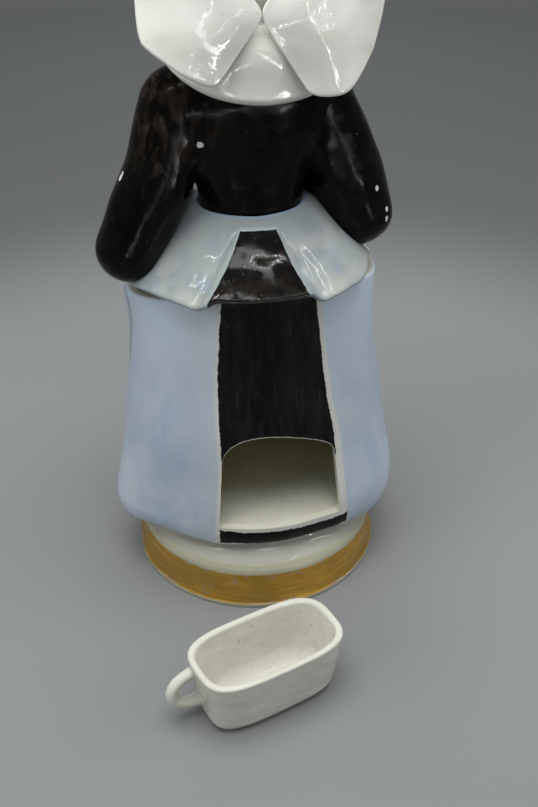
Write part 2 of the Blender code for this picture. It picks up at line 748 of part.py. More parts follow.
def peplum_point(local, share, inset=0.0):
    """A point of the peplum at a turn from the middle of its back panel, a share out from the waist."""
    folded = min(local % 1, -local % 1)
    reach_share, drop_share = spline(PEPLUM_EDGE_SHARES, folded)
    fall, = spline(PEPLUM_FALL_SHARES, share)
    angle = 2 * math.pi * (local + PEPLUM_TURN_SHARE)
    waist_x, waist_y = waist_half()
    waist = math.hypot(waist_x * math.sin(angle), waist_y * math.cos(angle)) + PEPLUM_WAIST_MARGIN
    edge_x = SKIRT_HALF_WIDTH - PEPLUM_SIDE_INSET
    edge_y = SKIRT_HALF_DEPTH - PEPLUM_INSET
    edge = math.hypot(edge_x * math.sin(angle), edge_y * math.cos(angle))
    radius = blend(waist, edge * reach_share, share)
    if folded <= blend(PANEL_TOP_TURN_SHARE, PANEL_EDGE_TURN_SHARE, share) + PANEL_STEP_TURN_SHARE / 2:
        radius += PANEL_RELIEF * share**0.5
    slope = PEPLUM_THICKNESS * math.sqrt(0.5) * inset
    z = WAIST_HEIGHT + PEPLUM_OVERLAP - PEPLUM_DROP * fall * (1 + drop_share * share) - slope
    return Vector(((radius - slope) * math.sin(angle), (radius - slope) * math.cos(angle), z))


def build_peplum(parent, material, *neighbours):
    outside = []
    inside = []
    for share in shares(PEPLUM_ROWS):
        outside.append([peplum_point(turn, share) for turn in peplum_turns(share)])
        inside.append([peplum_point(turn, share, 1) for turn in peplum_turns(share)])
    piece = solid("peplum", outside + inside[::-1], material, parent, endless=True)
    seat_on(piece, *neighbours, solver="MANIFOLD")
    return piece


def arm_paths(side):
    """Points from the shoulder to the elbow, and from the elbow to the wrist."""
    mirror = Vector((1 if side == "left" else -1, 1, 1))
    armhole = Vector((BODICE_HALF_WIDTH, 0, WAIST_HEIGHT))
    jug_side = Vector((JUG_RADIUS, JUG_CENTRE_Y, JUG_FOOT))
    top = armhole + Vector((0, 0, BODICE_HEIGHT)) + SHOULDER[side]
    bend = armhole + ELBOW[side]
    end = jug_side + WRIST
    upper = (top + bend) / 2 + UPPER_ARM_BULGE
    fore = (bend + end) / 2 + FOREARM_SAG
    paths = []
    for stations, radii in (((top, upper, bend), UPPER_ARM_SHARES), ((bend, fore, end), FOREARM_SHARES)):
        rows = [(i / 2, *station) for i, station in enumerate(stations)]
        paths.append([Vector(spline(rows, share)) * mirror for share in shares(len(radii))])
    return paths


def build_arm(side, parent, sleeve_material, cuff_material, bodice):
    """A sleeve of an upper arm and a forearm that meet at the elbow, and its cuff."""
    sides = SMALL_SIDES + 2
    upper, fore = arm_paths(side)
    upper_rings = limb(upper, [SLEEVE_RADIUS * share for share in UPPER_ARM_SHARES], sides)
    fore_rings = limb(fore, [SLEEVE_RADIUS * share for share in FOREARM_SHARES], sides, False)
    sleeve = solid("sleeve_" + side, upper_rings, sleeve_material, parent)
    forearm = solid("forearm_form_" + side, fore_rings, sleeve_material, parent, cutter=True)
    join = sleeve.modifiers.new("forearm", "BOOLEAN")
    join.operation = "UNION"
    join.solver = "EXACT"
    join.object = forearm
    seat_on(sleeve, bodice)
    along = (fore[-1] - fore[-2]).normalized()
    cuff_path = [fore[-1] + along * (CLEARANCE + CUFF_LENGTH * share) for share in shares(3)]
    cuff_radii = [CUFF_RADIUS - CUFF_FLARE, CUFF_RADIUS, CUFF_RADIUS + CUFF_FLARE]
    cuff_rings = swept(cuff_path, [(radius, radius) for radius in cuff_radii], sides)
    cuff = solid("cuff_" + side, cuff_rings, cuff_material, parent)
    return sleeve, forearm, cuff, cuff_path[-1]


def build_hand(side, start, parent, material, cuff, jug):
    """A hand that leaves its cuff and curls round the side of the jug."""
    sign = 1 if side == "left" else -1
    reach = JUG_RADIUS + HAND_HALF_THICKNESS
    grip_z = JUG_FOOT + JUG_HEIGHT * GRIP_HEIGHT_SHARE
    stations = [start]
    for turn in GRIP_TURNS:
        x = sign * reach * math.cos(turn)
        stations.append(Vector((x, JUG_CENTRE_Y - reach * math.sin(turn), grip_z)))
    rows = [(i / (len(stations) - 1), *station) for i, station in enumerate(stations)]
    path = [Vector(spline(rows, share)) for share, wide, thick in HAND_SHARES]
    sizes = [(HAND_HALF_WIDTH * wide, HAND_HALF_THICKNESS * thick) for share, wide, thick in HAND_SHARES]
    piece = solid("hand_" + side, swept(path, sizes, SMALL_SIDES, Vector((0, 0, 1))), material, parent)
    seat_on(piece, cuff, jug)
    return piece


def jug_ring(share, inset, sides=BODY_SIDES - 4):
    radius_share, lip_share = spline(JUG_SHARES, share)
    radius = JUG_RADIUS * radius_share - inset
    z = JUG_FOOT + JUG_HEIGHT * share
    ring = oval(radius, radius, z, sides, (0, JUG_CENTRE_Y))
    for i, point in enumerate(ring):
        forward = max(-math.cos(2 * math.pi * i / sides), 0) ** 4
        point.y -= JUG_LIP_REACH * lip_share * forward
        point.z += JUG_LIP_RISE * lip_share * forward
    return ring


def build_jug(parent, material, bore, *neighbours):
    outside = [jug_ring(share, 0) for share in shares(JUG_ROWS)]
    floor_share = 2 * JUG_WALL / JUG_HEIGHT
    inside = [jug_ring(blend(floor_share, 1, share), JUG_WALL) for share in shares(JUG_ROWS - 1)]
    piece = solid("jug", outside + inside[::-1], material, parent)
    seat_on(piece, *neighbours)
    subtract(piece, bore)
    return piece


def collar_ring(share, inset, sides=BODY_SIDES):
    way_x, way_y, height = spline(COLLAR_SHARES, share)
    neck = RIM_RADIUS + COLLAR_THICKNESS + CLEARANCE
    half_x = blend(neck, COLLAR_HALF_WIDTH, way_x)
    half_y = blend(neck, COLLAR_HALF_DEPTH, way_y)
    ring = oval(half_x - inset, half_y - inset, 0, sides, (0, 0), COLLAR_SQUARENESS_SHARE)
    for i, point in enumerate(ring):
        side = math.sin(2 * math.pi * i / sides)
        edge = COLLAR_TOP - COLLAR_HEIGHT + COLLAR_SIDE_RISE * side**2 + COLLAR_TILT * side
        point.z = blend(edge, COLLAR_TOP, height) - inset * (1 - share)
    return ring


def build_collar(parent, material, *neighbours):
    outside = [collar_ring(share, 0) for share in shares(COLLAR_ROWS)]
    inside = [collar_ring(share, COLLAR_THICKNESS) for share in shares(COLLAR_ROWS)]
    piece = solid("collar", outside + inside[::-1], material, parent, endless=True)
    seat_on(piece, *neighbours)
    return piece


def build_lid_plug(parent, material):
    """A flange that rests on the neck's rim, with a hollow plug below it."""
    plug = MOUTH_RADIUS - PLUG_CLEARANCE
    flange = RIM_RADIUS - LID_FLANGE_INSET
    profile = (
        (flange - EDGE_ROUNDING, LID_FLANGE_TOP),
        (flange, CLEARANCE + LID_FLANGE_THICKNESS / 2),
        (flange - EDGE_ROUNDING / 2, CLEARANCE),
        (plug, CLEARANCE),
        (plug - EDGE_ROUNDING / 2, -PLUG_DEPTH),
        (plug - PLUG_WALL, -PLUG_DEPTH),
        (plug - PLUG_WALL, CLEARANCE),
    )
    return solid("lid_plug", turned(profile, HEAD_SIDES), material, parent)


def head_point(azimuth, up):
    """A point of the head: an egg with brow, nose, cheeks and chin; azimuth 0 is its back."""
    level = math.sqrt(max(1 - up**2, 0))
    jaw = 1 - JAW_SHARE * max(-up, 0) ** 1.5
    front = max(-math.cos(azimuth), 0)
    push = 0
    for width, place, height, forward in FACE_SHARES:
        across = math.exp(-((math.sin(azimuth) / width) ** 2))
        push += forward * across * math.exp(-(((up - place) / height) ** 2))
    x = HEAD_HALF_WIDTH * level * jaw * math.sin(azimuth)
    y = HEAD_HALF_DEPTH * (level * math.cos(azimuth) - front**3 * push)
    return HEAD_CENTRE + Vector((x, y, HEAD_HALF_HEIGHT * up))


def build_head(parent, material):
    """The head and, below it, the neck that stands on the lid's flange."""
    neck_top = HEAD_CENTRE.z + HEAD_HALF_HEIGHT * NECK_TOP_SHARE
    rings = turned(((NECK_RADIUS, LID_FLANGE_TOP + CLEARANCE), (NECK_RADIUS, neck_top)), HEAD_SIDES)
    for share in HEAD_STEP_SHARES:
        up = math.sin(math.pi / 2 * share)
        rings.append([head_point(2 * math.pi * i / HEAD_SIDES, up) for i in range(HEAD_SIDES)])
    return solid("head", rings, material, parent)


def face_y(z):
    """The slanted plane in which the cap ends round the face."""
    return CAP_CENTRE.y - CAP_FACE_REACH - CAP_FACE_SLOPE_SHARE * (z - CAP_CENTRE.z)


def build_cap(parent, material, head):
    """A close cap over the crown and the back of the head, cut away round the face."""
    nape = LID_FLANGE_TOP + CLEARANCE
    rows = [(CAP_NAPE_SHARE, nape)]
    rows += [(wide, CAP_CENTRE.z + CAP_HALF_HEIGHT * up) for up, wide in CAP_SHARES]
    rings = []
    for wide, z in rows:
        rings.append(oval(CAP_HALF_WIDTH * wide, CAP_HALF_DEPTH * wide, z, HEAD_SIDES, (0, CAP_CENTRE.y)))
    piece = solid("cap", rings, material, parent)
    seat_on(piece, head)
    wide = CAP_HALF_WIDTH + CUT_OVERRUN
    front = CAP_CENTRE.y - CAP_HALF_DEPTH - CUT_OVERRUN
    block = []
    for z in (nape - CUT_OVERRUN, CAP_CENTRE.z + CAP_HALF_HEIGHT + CUT_OVERRUN):
        corners = ((wide, face_y(z)), (-wide, face_y(z)), (-wide, front), (wide, front))
        block.append([Vector((x, y, z)) for x, y in corners])
    subtract(piece, solid("face_cutter", block, material, parent, cutter=True))
    return piece


def build_cap_band(parent, material, cap, head):
    """The rolled edge of the cap round the face, from cheek to cheek over the forehead."""
    path = []
    for share in shares(CAP_BAND_ROWS):
        turn = math.pi * blend(*CAP_BAND_ARC_SHARES, share)
        x = CAP_HALF_WIDTH * CAP_BAND_PLACE_SHARE * math.cos(turn)
        z = CAP_CENTRE.z + CAP_HALF_HEIGHT * CAP_BAND_PLACE_SHARE * math.sin(turn)
        path.append(Vector((x, face_y(z) - CAP_BAND_RADIUS / 2, z)))
    sizes = [(CAP_BAND_RADIUS, CAP_BAND_RADIUS)] * len(path)
    piece = solid("cap_band", swept(path, sizes, SMALL_SIDES // 2 + 2), material, parent)
    subtract(piece, clearance_of(cap, as_cut=True))
    seat_on(piece, head)
    return piece


def wing_point(side, across, up):
    """A point of the wing's middle surface, across from the nape and up from its lower edge."""
    rows = []
    bands = WING_SHARES[side]
    for i, band in enumerate(bands):
        stations = [(k / (len(band) - 1), *point) for k, point in enumerate(band)]
        rows.append((i / (len(bands) - 1), *spline(stations, across)))
    span, back, height = spline(rows, up)
    return Vector((WING_SPAN * span, WING_BACK * back, WING_HEIGHT * height - WING_TIP_DROP))


def build_wing(side, parent, material, *neighbours):
    """A starched wing of the cap: a curved sheet with thinner edges that meets the other at the nape."""
    mirror = Vector((1 if side == "left" else -1, 1, 1))
    step = WING_STEP_SHARE
    rings = []
    for up in shares(WING_ROWS):
        front = []
        back = []
        for across in shares(WING_COLUMNS):
            at_side = abs(2 * across - 1) == 1
            at_end = abs(2 * up - 1) == 1
            corner = WING_CORNER_SHARE if at_side and at_end else 0
            u = blend(across, 0.5, 2 * corner)
            v = blend(up, 0.5, 2 * corner)
            point = wing_point(side, u, v)
            tangent_x = wing_point(side, min(u + step, 1), v) - wing_point(side, max(u - step, 0), v)
            tangent_z = wing_point(side, u, min(v + step, 1)) - wing_point(side, u, max(v - step, 0))
            normal = tangent_x.cross(tangent_z).normalized()
            half = WING_THICKNESS / 2 * (WING_EDGE_THICKNESS_SHARE if at_side or at_end else 1)
            for face, offset in ((front, half), (back, -half)):
                place = point + normal * offset
                place.x = max(place.x, CLEARANCE / 2)
                face.append(place * mirror)
        rings.append(front + back[::-1])
    piece = solid("wing_" + side, rings, material, parent)
    seat_on(piece, *neighbours)
    return piece


def build_cup(parent, material):
    """An oblong cup with round corners, a flat foot and a rolled rim."""
    power = CUP_SQUARENESS_SHARE

    def ring(z, inset):
        narrow = CUP_TAPER * (1 - z / CUP_HEIGHT) + inset
        return oval(CUP_HALF_LENGTH - narrow, CUP_HALF_WIDTH - narrow, z, BODY_SIDES, (0, 0), power)

    rolled = CUP_WALL / 2
    outside = [
        ring(0, CUP_FOOT_ROUNDING * 0.6),
        ring(CUP_FOOT_ROUNDING * 0.3, CUP_FOOT_ROUNDING * 0.18),
        ring(CUP_FOOT_ROUNDING, 0),
        ring(CUP_HEIGHT / 2, 0),
        ring(CUP_HEIGHT - rolled, 0),
        ring(CUP_HEIGHT, rolled * 0.6),
        ring(CUP_HEIGHT, CUP_WALL - rolled * 0.6),
        ring(CUP_HEIGHT - rolled, CUP_WALL),
        ring(CUP_FLOOR + CUP_FOOT_ROUNDING, CUP_WALL),
        ring(CUP_FLOOR + CUP_FOOT_ROUNDING * 0.25, CUP_WALL + CUP_FOOT_ROUNDING * 0.35),
        ring(CUP_FLOOR, CUP_WALL + CUP_FOOT_ROUNDING),
    ]
    return solid("burner_cup", outside, material, parent)


def build_cup_handle(parent, material, cup):
    """A small ear on the end of the cup."""
    top_z = CUP_HEIGHT - CUP_HANDLE_TOP_DROP
    middle_z = (top_z + CUP_HANDLE_LOW_Z) / 2
    half_height = (top_z - CUP_HANDLE_LOW_Z) / 2
    wall_x = CUP_HALF_LENGTH - CUP_TAPER / 2 - CUP_WALL / 2
    path = []
    for share in shares(CUP_HANDLE_ROWS):
        turn = math.pi * blend(0.5, -0.5, share)
        z = middle_z + half_height * math.sin(turn)
        x = wall_x + (CUP_HANDLE_REACH + CUP_WALL / 2) * abs(math.cos(turn)) ** CUP_HANDLE_ROUND_SHARE
        path.append(Vector((x, CUP_HANDLE_SIDE, z)))
    sizes = [(CUP_HANDLE_RADIUS, CUP_HANDLE_RADIUS)] * len(path)
    piece = solid("burner_cup_handle", swept(path, sizes, SMALL_SIDES - 4), material, parent)
    seat_on(piece, cup)
    return piece


def middle_of_footprint():
    """The middle, seen from above, of everything built so far."""
    bpy.context.view_layer.update()
    graph = bpy.context.evaluated_depsgraph_get()
    points = []
    for piece in bpy.data.objects:
        if piece.type != "MESH" or piece.hide_render:
            continue
        shape = piece.evaluated_get(graph)
        points += [shape.matrix_world @ vertex.co for vertex in shape.data.vertices]
    middle_x = (min(p.x for p in points) + max(p.x for p in points)) / 2
    middle_y = (min(p.y for p in points) + max(p.y for p in points)) / 2
    return Vector((middle_x, middle_y, 0))


def main():
    for item in list(bpy.data.objects):
        bpy.data.objects.remove(item, do_unlink=True)

    white = glaze("white_glaze", (0.78, 0.77, 0.73), 0.16)
    gilding = glaze("plinth_gilding", (0.42, 0.29, 0.09), 0.38, 0.6)
    blue = glaze("matte_blue_glaze", (0.42, 0.53, 0.70), 0.55)
    bright_blue = glaze("bright_blue_glaze", (0.55, 0.66, 0.74), 0.12)
    black = glaze("black_glaze", (0.018, 0.014, 0.013), 0.14)
    skin = glaze("flesh_enamel", (0.80, 0.60, 0.50), 0.25)

    figure = empty("figure", (0, 0, 0))
    teapot = empty("teapot", (0, 0, LEDGE_Z), figure)
    lid = empty("lid", (0, 0, BODICE_TOP), teapot)
    cup_place = empty("cup_place", (CUP_X, PLINTH_RADIUS + CUP_DISTANCE, 0), figure, CUP_ANGLE)

    build_plinth(figure, gilding)
    build_petticoat(figure, white)
    build_floor(figure, white)
    build_skirt(figure, blue)
    build_apron(figure, blue)
    build_ledge(figure, white)

    bore = solid("spout_bore", spout_rod(SPOUT_BORE_RADIUS), white, teapot, cutter=True)
    jug_rings = [jug_ring(share, 0) for share in shares(JUG_ROWS)]
    jug_form = solid("jug_form", jug_rings, white, teapot, cutter=True)
    bodice_form = build_bodice_form(teapot, black)
    reservoir = build_reservoir(teapot, white)
    build_bodice(teapot, black, bore)
    arms = []
    for side in ("left", "right"):
        sleeve, forearm, cuff, wrist = build_arm(side, teapot, black, white, bodice_form)
        build_hand(side, wrist, teapot, skin, cuff, jug_form)
        arms += [sleeve, forearm]
    peplum = build_peplum(teapot, bright_blue, reservoir, bodice_form, *arms)
    build_jug(teapot, white, bore, peplum)
    build_spout_neck(teapot, white, bore, bodice_form, jug_form)
    collar = build_collar(teapot, white, bodice_form, *arms)

    build_lid_plug(lid, white)
    head = build_head(lid, skin)
    cap = build_cap(lid, white, head)
    build_cap_band(lid, white, cap, head)
    build_wing("left", lid, white, cap, collar)
    build_wing("right", lid, white, cap, collar)

    cup = build_cup(cup_place, white)
    build_cup_handle(cup_place, white, cup)

    figure.location -= middle_of_footprint()


main()
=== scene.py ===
"""Dressed model of a porcelain night-light teapot: a woman in a winged cap, seen from the back.

Lengths are in metres. Meshes are made in the figure's frame, in which the middle of the plinth's
foot is the origin, +Z is up, the figure looks along -Y and +X is its left-hand side.
"""
import functools
import math

import bmesh
import bpy
import numpy as np
from mathutils import Matrix, Vector, noise
from mathutils.bvhtree import BVHTree


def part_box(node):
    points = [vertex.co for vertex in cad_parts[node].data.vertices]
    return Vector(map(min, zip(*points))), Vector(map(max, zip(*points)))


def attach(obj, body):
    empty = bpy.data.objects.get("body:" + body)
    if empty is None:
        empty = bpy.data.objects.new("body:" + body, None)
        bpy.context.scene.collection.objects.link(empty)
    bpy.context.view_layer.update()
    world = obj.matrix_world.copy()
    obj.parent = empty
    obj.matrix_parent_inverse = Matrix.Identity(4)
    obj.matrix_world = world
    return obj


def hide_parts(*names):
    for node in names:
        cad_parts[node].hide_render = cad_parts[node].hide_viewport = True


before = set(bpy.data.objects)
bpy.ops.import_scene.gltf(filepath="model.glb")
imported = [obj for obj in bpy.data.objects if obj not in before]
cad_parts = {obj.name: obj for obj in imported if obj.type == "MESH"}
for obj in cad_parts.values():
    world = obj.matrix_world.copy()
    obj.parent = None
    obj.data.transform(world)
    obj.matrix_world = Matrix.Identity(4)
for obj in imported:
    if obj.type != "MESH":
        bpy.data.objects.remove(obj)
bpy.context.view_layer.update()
plinth_low, plinth_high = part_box("plinth")
PLACE = Vector(((plinth_low.x + plinth_high.x) / 2, (plinth_low.y + plinth_high.y) / 2, 0))
CLEARANCE = 0.0003
WALL = 0.0035


# Paint

class Value:
    """A node's output, with plain arithmetic."""

    def __init__(self, paint, socket):
        self.paint = paint
        self.socket = socket

    def __add__(self, other):
        return self.paint.math("ADD", self, other)

    def __sub__(self, other):
        return self.paint.math("SUBTRACT", self, other)

    def __rsub__(self, other):
        return self.paint.math("SUBTRACT", other, self)

    def __mul__(self, other):
        return self.paint.math("MULTIPLY", self, other)

    def __truediv__(self, other):
        return self.paint.math("DIVIDE", self, other)

    def __abs__(self):
        return self.paint.math("ABSOLUTE", self)


class Paint:
    """A node material in the making; its methods return values."""

    def __init__(self, name):
        self.material = bpy.data.materials.new(name)
        self.material.use_nodes = True
        self.tree = self.material.node_tree
        self.shader = self.tree.nodes["Principled BSDF"]
        self.place = self.add("TexCoord", output="Object")
        self.x, self.y, self.z = self.parts(self.place)

    def put(self, socket, value):
        if isinstance(value, Value):
            self.tree.links.new(value.socket, socket)
        else:
            socket.default_value = value

    def add(self, kind, inputs=(), output=0, **settings):
        """An output of a new node, whose inputs are pairs of a name or number and a value."""
        node = self.tree.nodes.new("ShaderNode" + kind)
        for key, value in settings.items():
            setattr(node, key, value)
        for key, value in dict(inputs).items():
            self.put(node.inputs[key], value)
        return Value(self, node.outputs[output])

    def parts(self, vector):
        """The x, y and z of a vector."""
        node = self.add("SeparateXYZ", {0: vector}).socket.node
        return [Value(self, socket) for socket in node.outputs]

    def math(self, operation, *values):
        return self.add("Math", enumerate(values), operation=operation)

    def most(self, *values):
        return functools.reduce(functools.partial(self.math, "MAXIMUM"), values)

    def noise(self, size, stretch=(1, 1, 1), detail=3.0, shift=0.0):
        """Noise around 0.5 with blotches of about a size, longer where stretch is over 1."""
        scale = [1 / (size * part) for part in stretch]
        placed = self.add("Mapping", {"Vector": self.place, "Scale": scale, "Location": [shift] * 3})
        return self.add("TexNoise", {"Vector": placed, "Scale": 1.0, "Detail": detail})

    def ragged(self, size, reach, **kind):
        """Noise around 0 that spans a reach."""
        return (self.noise(size, **kind) - 0.5) * reach

    def ramp(self, value, low, high):
        """0 at a low value and 1 at a high one, softly."""
        return self.add("MapRange", enumerate((value, low, high)), interpolation_type="SMOOTHSTEP")

    def patches(self, size, low, high, *kind, **more):
        """Soft patches of noise, 0 where it is below a low level and 1 above a high one."""
        return self.ramp(self.noise(size, *kind, **more), low, high)

    def between(self, size, first, second, *kind, **more):
        """A number that drifts from a first to a second over patches of about a size."""
        return self.patches(size, 0.3, 0.7, *kind, **more) * (second - first) + first

    def mix(self, share, first, second):
        first, second = [(*part, 1.0) if isinstance(part, tuple) else part for part in (first, second)]
        return self.add("Mix", {0: share, 6: first, 7: second}, 2, data_type="RGBA")

    def clouds(self, size, first, second, level=0.35, **kind):
        """Two colours that drift into each other."""
        return self.mix(self.patches(size, level, 1 - level, **kind), first, second)

    def layers(self, colour, *coats):
        """A colour under coats of (share, colour), the last on top."""
        for share, coat in coats:
            colour = self.mix(share, colour, coat)
        return colour

    def curve(self, value, points):
        """A smooth curve through (value, result) points."""
        low, high = points[0][0], points[-1][0]
        bottom = min(result for _, result in points)
        top = max(result for _, result in points)
        share = self.add("MapRange", enumerate((value, low, high)))
        curved = self.add("FloatCurve", {"Value": share})
        mapping = curved.socket.node.mapping
        line = mapping.curves[0].points
        spots = [
            ((place - low) / (high - low), (result - bottom) / (top - bottom)) for place, result in points
        ]
        line[0].location, line[-1].location = spots[0], spots[-1]
        for spot in spots[1:-1]:
            line.new(*spot)
        mapping.update()
        return curved * (top - bottom) + bottom

    def spot(self, centre, radii, soft, ragged=0.0, ragged_size=0.001):
        """1 inside an ellipsoid and 0 outside it."""
        away = self.add("VectorMath", {0: self.place, 1: centre}, operation="SUBTRACT")
        share = self.add("VectorMath", {0: away, 1: radii}, operation="DIVIDE")
        length = self.add("VectorMath", {0: share}, 1, operation="LENGTH")
        if ragged:
            length += self.ragged(ragged_size, ragged, detail=2)
        return self.ramp(length, 1 + soft, 1 - soft)

    def finish(self, colour, roughness, height, distance, **more):
        bump = self.add("Bump", {"Height": height, "Distance": distance, "Strength": 1.0})
        for key, value in {"Base_Color": colour, "Roughness": roughness, "Normal": bump, **more}.items():
            self.put(self.shader.inputs[key.replace("_", " ")], value)
        return self.material


def glaze_relief(paint, broad=0.014, fine=0.0016):
    """Height of a fired glaze: slow waves and a faint orange peel."""
    return paint.noise(fine, detail=2.0, shift=7.0) * 0.06 + paint.noise(broad, detail=1.0)


def specks(paint, size, level):
    """Small dots where a fine noise is above a level, in some places only."""
    dots = paint.patches(size, level, level + 0.03, detail=0.0, shift=3.0)
    return dots * paint.patches(0.009, 0.62, 0.68, detail=0.0, shift=21.0)


WHITE_LOW = (0.610, 0.600, 0.550)
WHITE_HIGH = (0.660, 0.652, 0.605)
WHITE_THIN = (0.585, 0.570, 0.510)
WHITE_DUST = (0.20, 0.17, 0.13)


def tinted(colour, level, warm=1.0):
    """A colour at a level of lightness, less blue where warm is lower."""
    return tuple(part * level * tint for part, tint in zip(colour, (1, 1, warm)))


def white_colour(paint, level, warm=1.0):
    """Glazed white, clouded, with thin places and a little dust in the glaze."""
    return paint.layers(
        paint.clouds(0.024, tinted(WHITE_LOW, level, warm), tinted(WHITE_HIGH, level, warm)),
        (paint.patches(0.009, 0.55, 0.75, detail=2.0, shift=5.0) * 0.35, tinted(WHITE_THIN, level)),
        (specks(paint, 0.0009, 0.80) * 0.42, WHITE_DUST),
    )


def white_glaze(name, level, warm=1.0):
    paint = Paint(name)
    rough = paint.between(0.012, 0.04, 0.10, shift=2.0)
    return paint.finish(white_colour(paint, level, warm), rough, glaze_relief(paint), 0.0006)


def black_colour(paint):
    """A brushed brown-black that turns brown and grey where it is thin."""
    thin = paint.patches(0.0045, 0.50, 0.70, (1, 1, 3.2), 4.0, 4.0)
    thin *= paint.patches(0.016, 0.40, 0.62, shift=9.0)
    base = paint.clouds(0.018, (0.0016, 0.0015, 0.0013), (0.0040, 0.0034, 0.0028))
    return paint.mix(thin * 0.55, base, (0.0135, 0.0095, 0.0068))


WHITE = white_glaze("white_glaze", 1.22)
# The inner white is the white glaze at a darker level: painted shade for the shade inside the warmer.
INNER_SHADED = white_glaze("inner_white_shaded_glaze", 0.84, 0.90)
INNER_WALL = white_glaze("inner_wall_glaze", 0.92, 0.91)
# The foot's white is the white glaze at a darker level: painted shade for the shade under the skirt.
FOOT_WHITE_SHADED = white_glaze("foot_white_shaded_glaze", 0.58, 0.94)


# Forms

@functools.lru_cache(maxsize=256)
def table_of(rows):
    table = np.asarray(rows, float)
    keys, values = table[:, 0], table[:, 1:]
    return keys, values, np.gradient(values, keys, axis=0)


def spline(rows, share):
    """The columns of rows at a share of the first column, on a smooth curve through the rows."""
    keys, values, slopes = table_of(tuple(rows))
    low = min(max(int(keys.searchsorted(share)) - 1, 0), len(keys) - 2)
    width = keys[low + 1] - keys[low]
    s = (share - keys[low]) / width
    start = (2 * s**3 - 3 * s**2 + 1) * values[low] + (s**3 - 2 * s**2 + s) * width * slopes[low]
    end = (3 * s**2 - 2 * s**3) * values[low + 1] + (s**3 - s**2) * width * slopes[low + 1]
    return start + end


def shares(count):
    return [i / (count - 1) for i in range(count)]


def evenly(points):
    """Rows for spline of points at even shares."""
    return [(share, *point) for share, point in zip(shares(len(points)), points)]


def blend(low, high, share):
    return low + (high - low) * share


def step(value, low, high):
    share = min(max((value - low) / (high - low), 0), 1)
    return share * share * (3 - 2 * share)


def bell(value, centre, width):
    return math.exp(-(((value - centre) / width) ** 2))


def turns_of(sides):
    return [2 * math.pi * i / sides for i in range(sides)]


def mirror_of(side):
    return Vector((1 if side == "left" else -1, 1, 1))


def oval(half_x, half_y, z, sides, centre=(0, 0), power=2):
    """A closed ring, an ellipse or a squarer form of one, starting at the back and growing towards +X."""
    ring = []
    for angle in turns_of(sides):
        across = math.copysign(abs(math.sin(angle)) ** (2 / power), math.sin(angle))
        along = math.copysign(abs(math.cos(angle)) ** (2 / power), math.cos(angle))
        ring.append(Vector((centre[0] + half_x * across, centre[1] + half_y * along, z)))
    return ring


def turned(profile, sides):
    return [oval(radius, radius, z, sides) for radius, z in profile]


def rounded(profile, radius, steps=4):
    """The open profile of (radius, z) points with each inner corner cut by an arc-like curve."""
    points = [Vector(point) for point in profile]
    result = [points[0]]
    for before, corner, after in zip(points, points[1:], points[2:]):
        reach = min(radius, (before - corner).length * 0.45, (after - corner).length * 0.45)
        start = corner + (before - corner).normalized() * reach
        end = corner + (after - corner).normalized() * reach
        for share in shares(steps + 1):
            result.append((start.lerp(corner, share)).lerp(corner.lerp(end, share), share))
    result.append(points[-1])
    return [tuple(point) for point in result]


def rolled(outer, inner, angles, away):
    """Rings of a round edge from an outer to an inner ring, which bulges by away(point)."""
    rings = []
    for angle in angles:
        turn = math.radians(angle)
        share = (1 - math.cos(turn)) / 2
        rings.append([a.lerp(b, share) + away(a) * math.sin(turn) for a, b in zip(outer, inner)])
    return rings


def ellipse(middle, side, other, sides):
    """A ring round a middle, between two vectors that reach to it."""
    return [middle + side * math.cos(angle) + other * math.sin(angle) for angle in turns_of(sides)]


def swept(path, sizes, sides, flat_axis=None):
    """Rings square to a path of points, each with half sizes along and across flat_axis."""
    rings = []
    axis = flat_axis
    for i, (point, (wide, thick)) in enumerate(zip(path, sizes)):
        along = (path[min(i + 1, len(path) - 1)] - path[max(i - 1, 0)]).normalized()
        axis = axis or along.orthogonal()
        side = (axis - along * axis.dot(along)).normalized()
        if flat_axis is None:
            axis = side
        rings.append(ellipse(point, side * wide, along.cross(side) * thick, sides))
    return rings


DOME = [math.radians(angle) for angle in (4, 15, 28, 41, 54, 66, 78)]


def dome(end, before, radius):
    """Places and radii of a round end, from its tip to the end of a path."""
    way = (end - before).normalized()
    return [(end + way * radius * math.cos(turn), radius * math.sin(turn)) for turn in DOME]


def limb(path, radii, sides, domed_end=True):
    """Rings along a path that start and, if wanted, end in a round dome."""
    stations = dome(path[0], path[1], radii[0]) + list(zip(path, radii))
    if domed_end:
        stations += dome(path[-1], path[-2], radii[-1])[::-1]
    return swept([point for point, _ in stations], [(radius, radius) for _, radius in stations], sides)


def face_outwards(mesh, merge=0.0):
    form = bmesh.new()
    form.from_mesh(mesh)
    if merge:
        bmesh.ops.remove_doubles(form, verts=form.verts, dist=merge)
    bmesh.ops.recalc_face_normals(form, faces=form.faces)
    form.to_mesh(mesh)
    form.free()
    mesh.update()


def shell(rings, endless=False, strips=None, turns=None, rows=None, merge=0.0):
    """A mesh that joins each ring to the next; strips names each strip's material, turns and rows its UVs."""
    count = len(rings[0])
    points = [tuple(point) for ring in rings for point in ring]
    pairs = [(i, i + 1) for i in range(len(rings) - 1)]
    if endless:
        pairs.append((len(rings) - 1, 0))
    faces, indices, corners = [], [], []
    for number, (lower, upper) in enumerate(pairs):
        for i in range(count):
            j = (i + 1) % count
            faces.append((lower * count + i, lower * count + j, upper * count + j, upper * count + i))
            indices.append(strips[number] if strips else 0)
            if turns:
                whole = 1 if j == 0 else 0
                corners += [(turns[lower][i], rows[lower]), (turns[lower][j] + whole, rows[lower])]
                corners += [(turns[upper][j] + whole, rows[upper]), (turns[upper][i], rows[upper])]
    if not endless:
        faces += [tuple(range(count)), tuple(range(len(points) - count, len(points)))]
        indices += [indices[0], indices[-1]]
    mesh = bpy.data.meshes.new("shell")
    mesh.from_pydata(points, [], faces)
    mesh.polygons.foreach_set("material_index", indices)
    if turns:
        layer = mesh.uv_layers.new(name="form")
        layer.data.foreach_set("uv", [number for corner in corners for number in corner])
    face_outwards(mesh, merge)
    return mesh


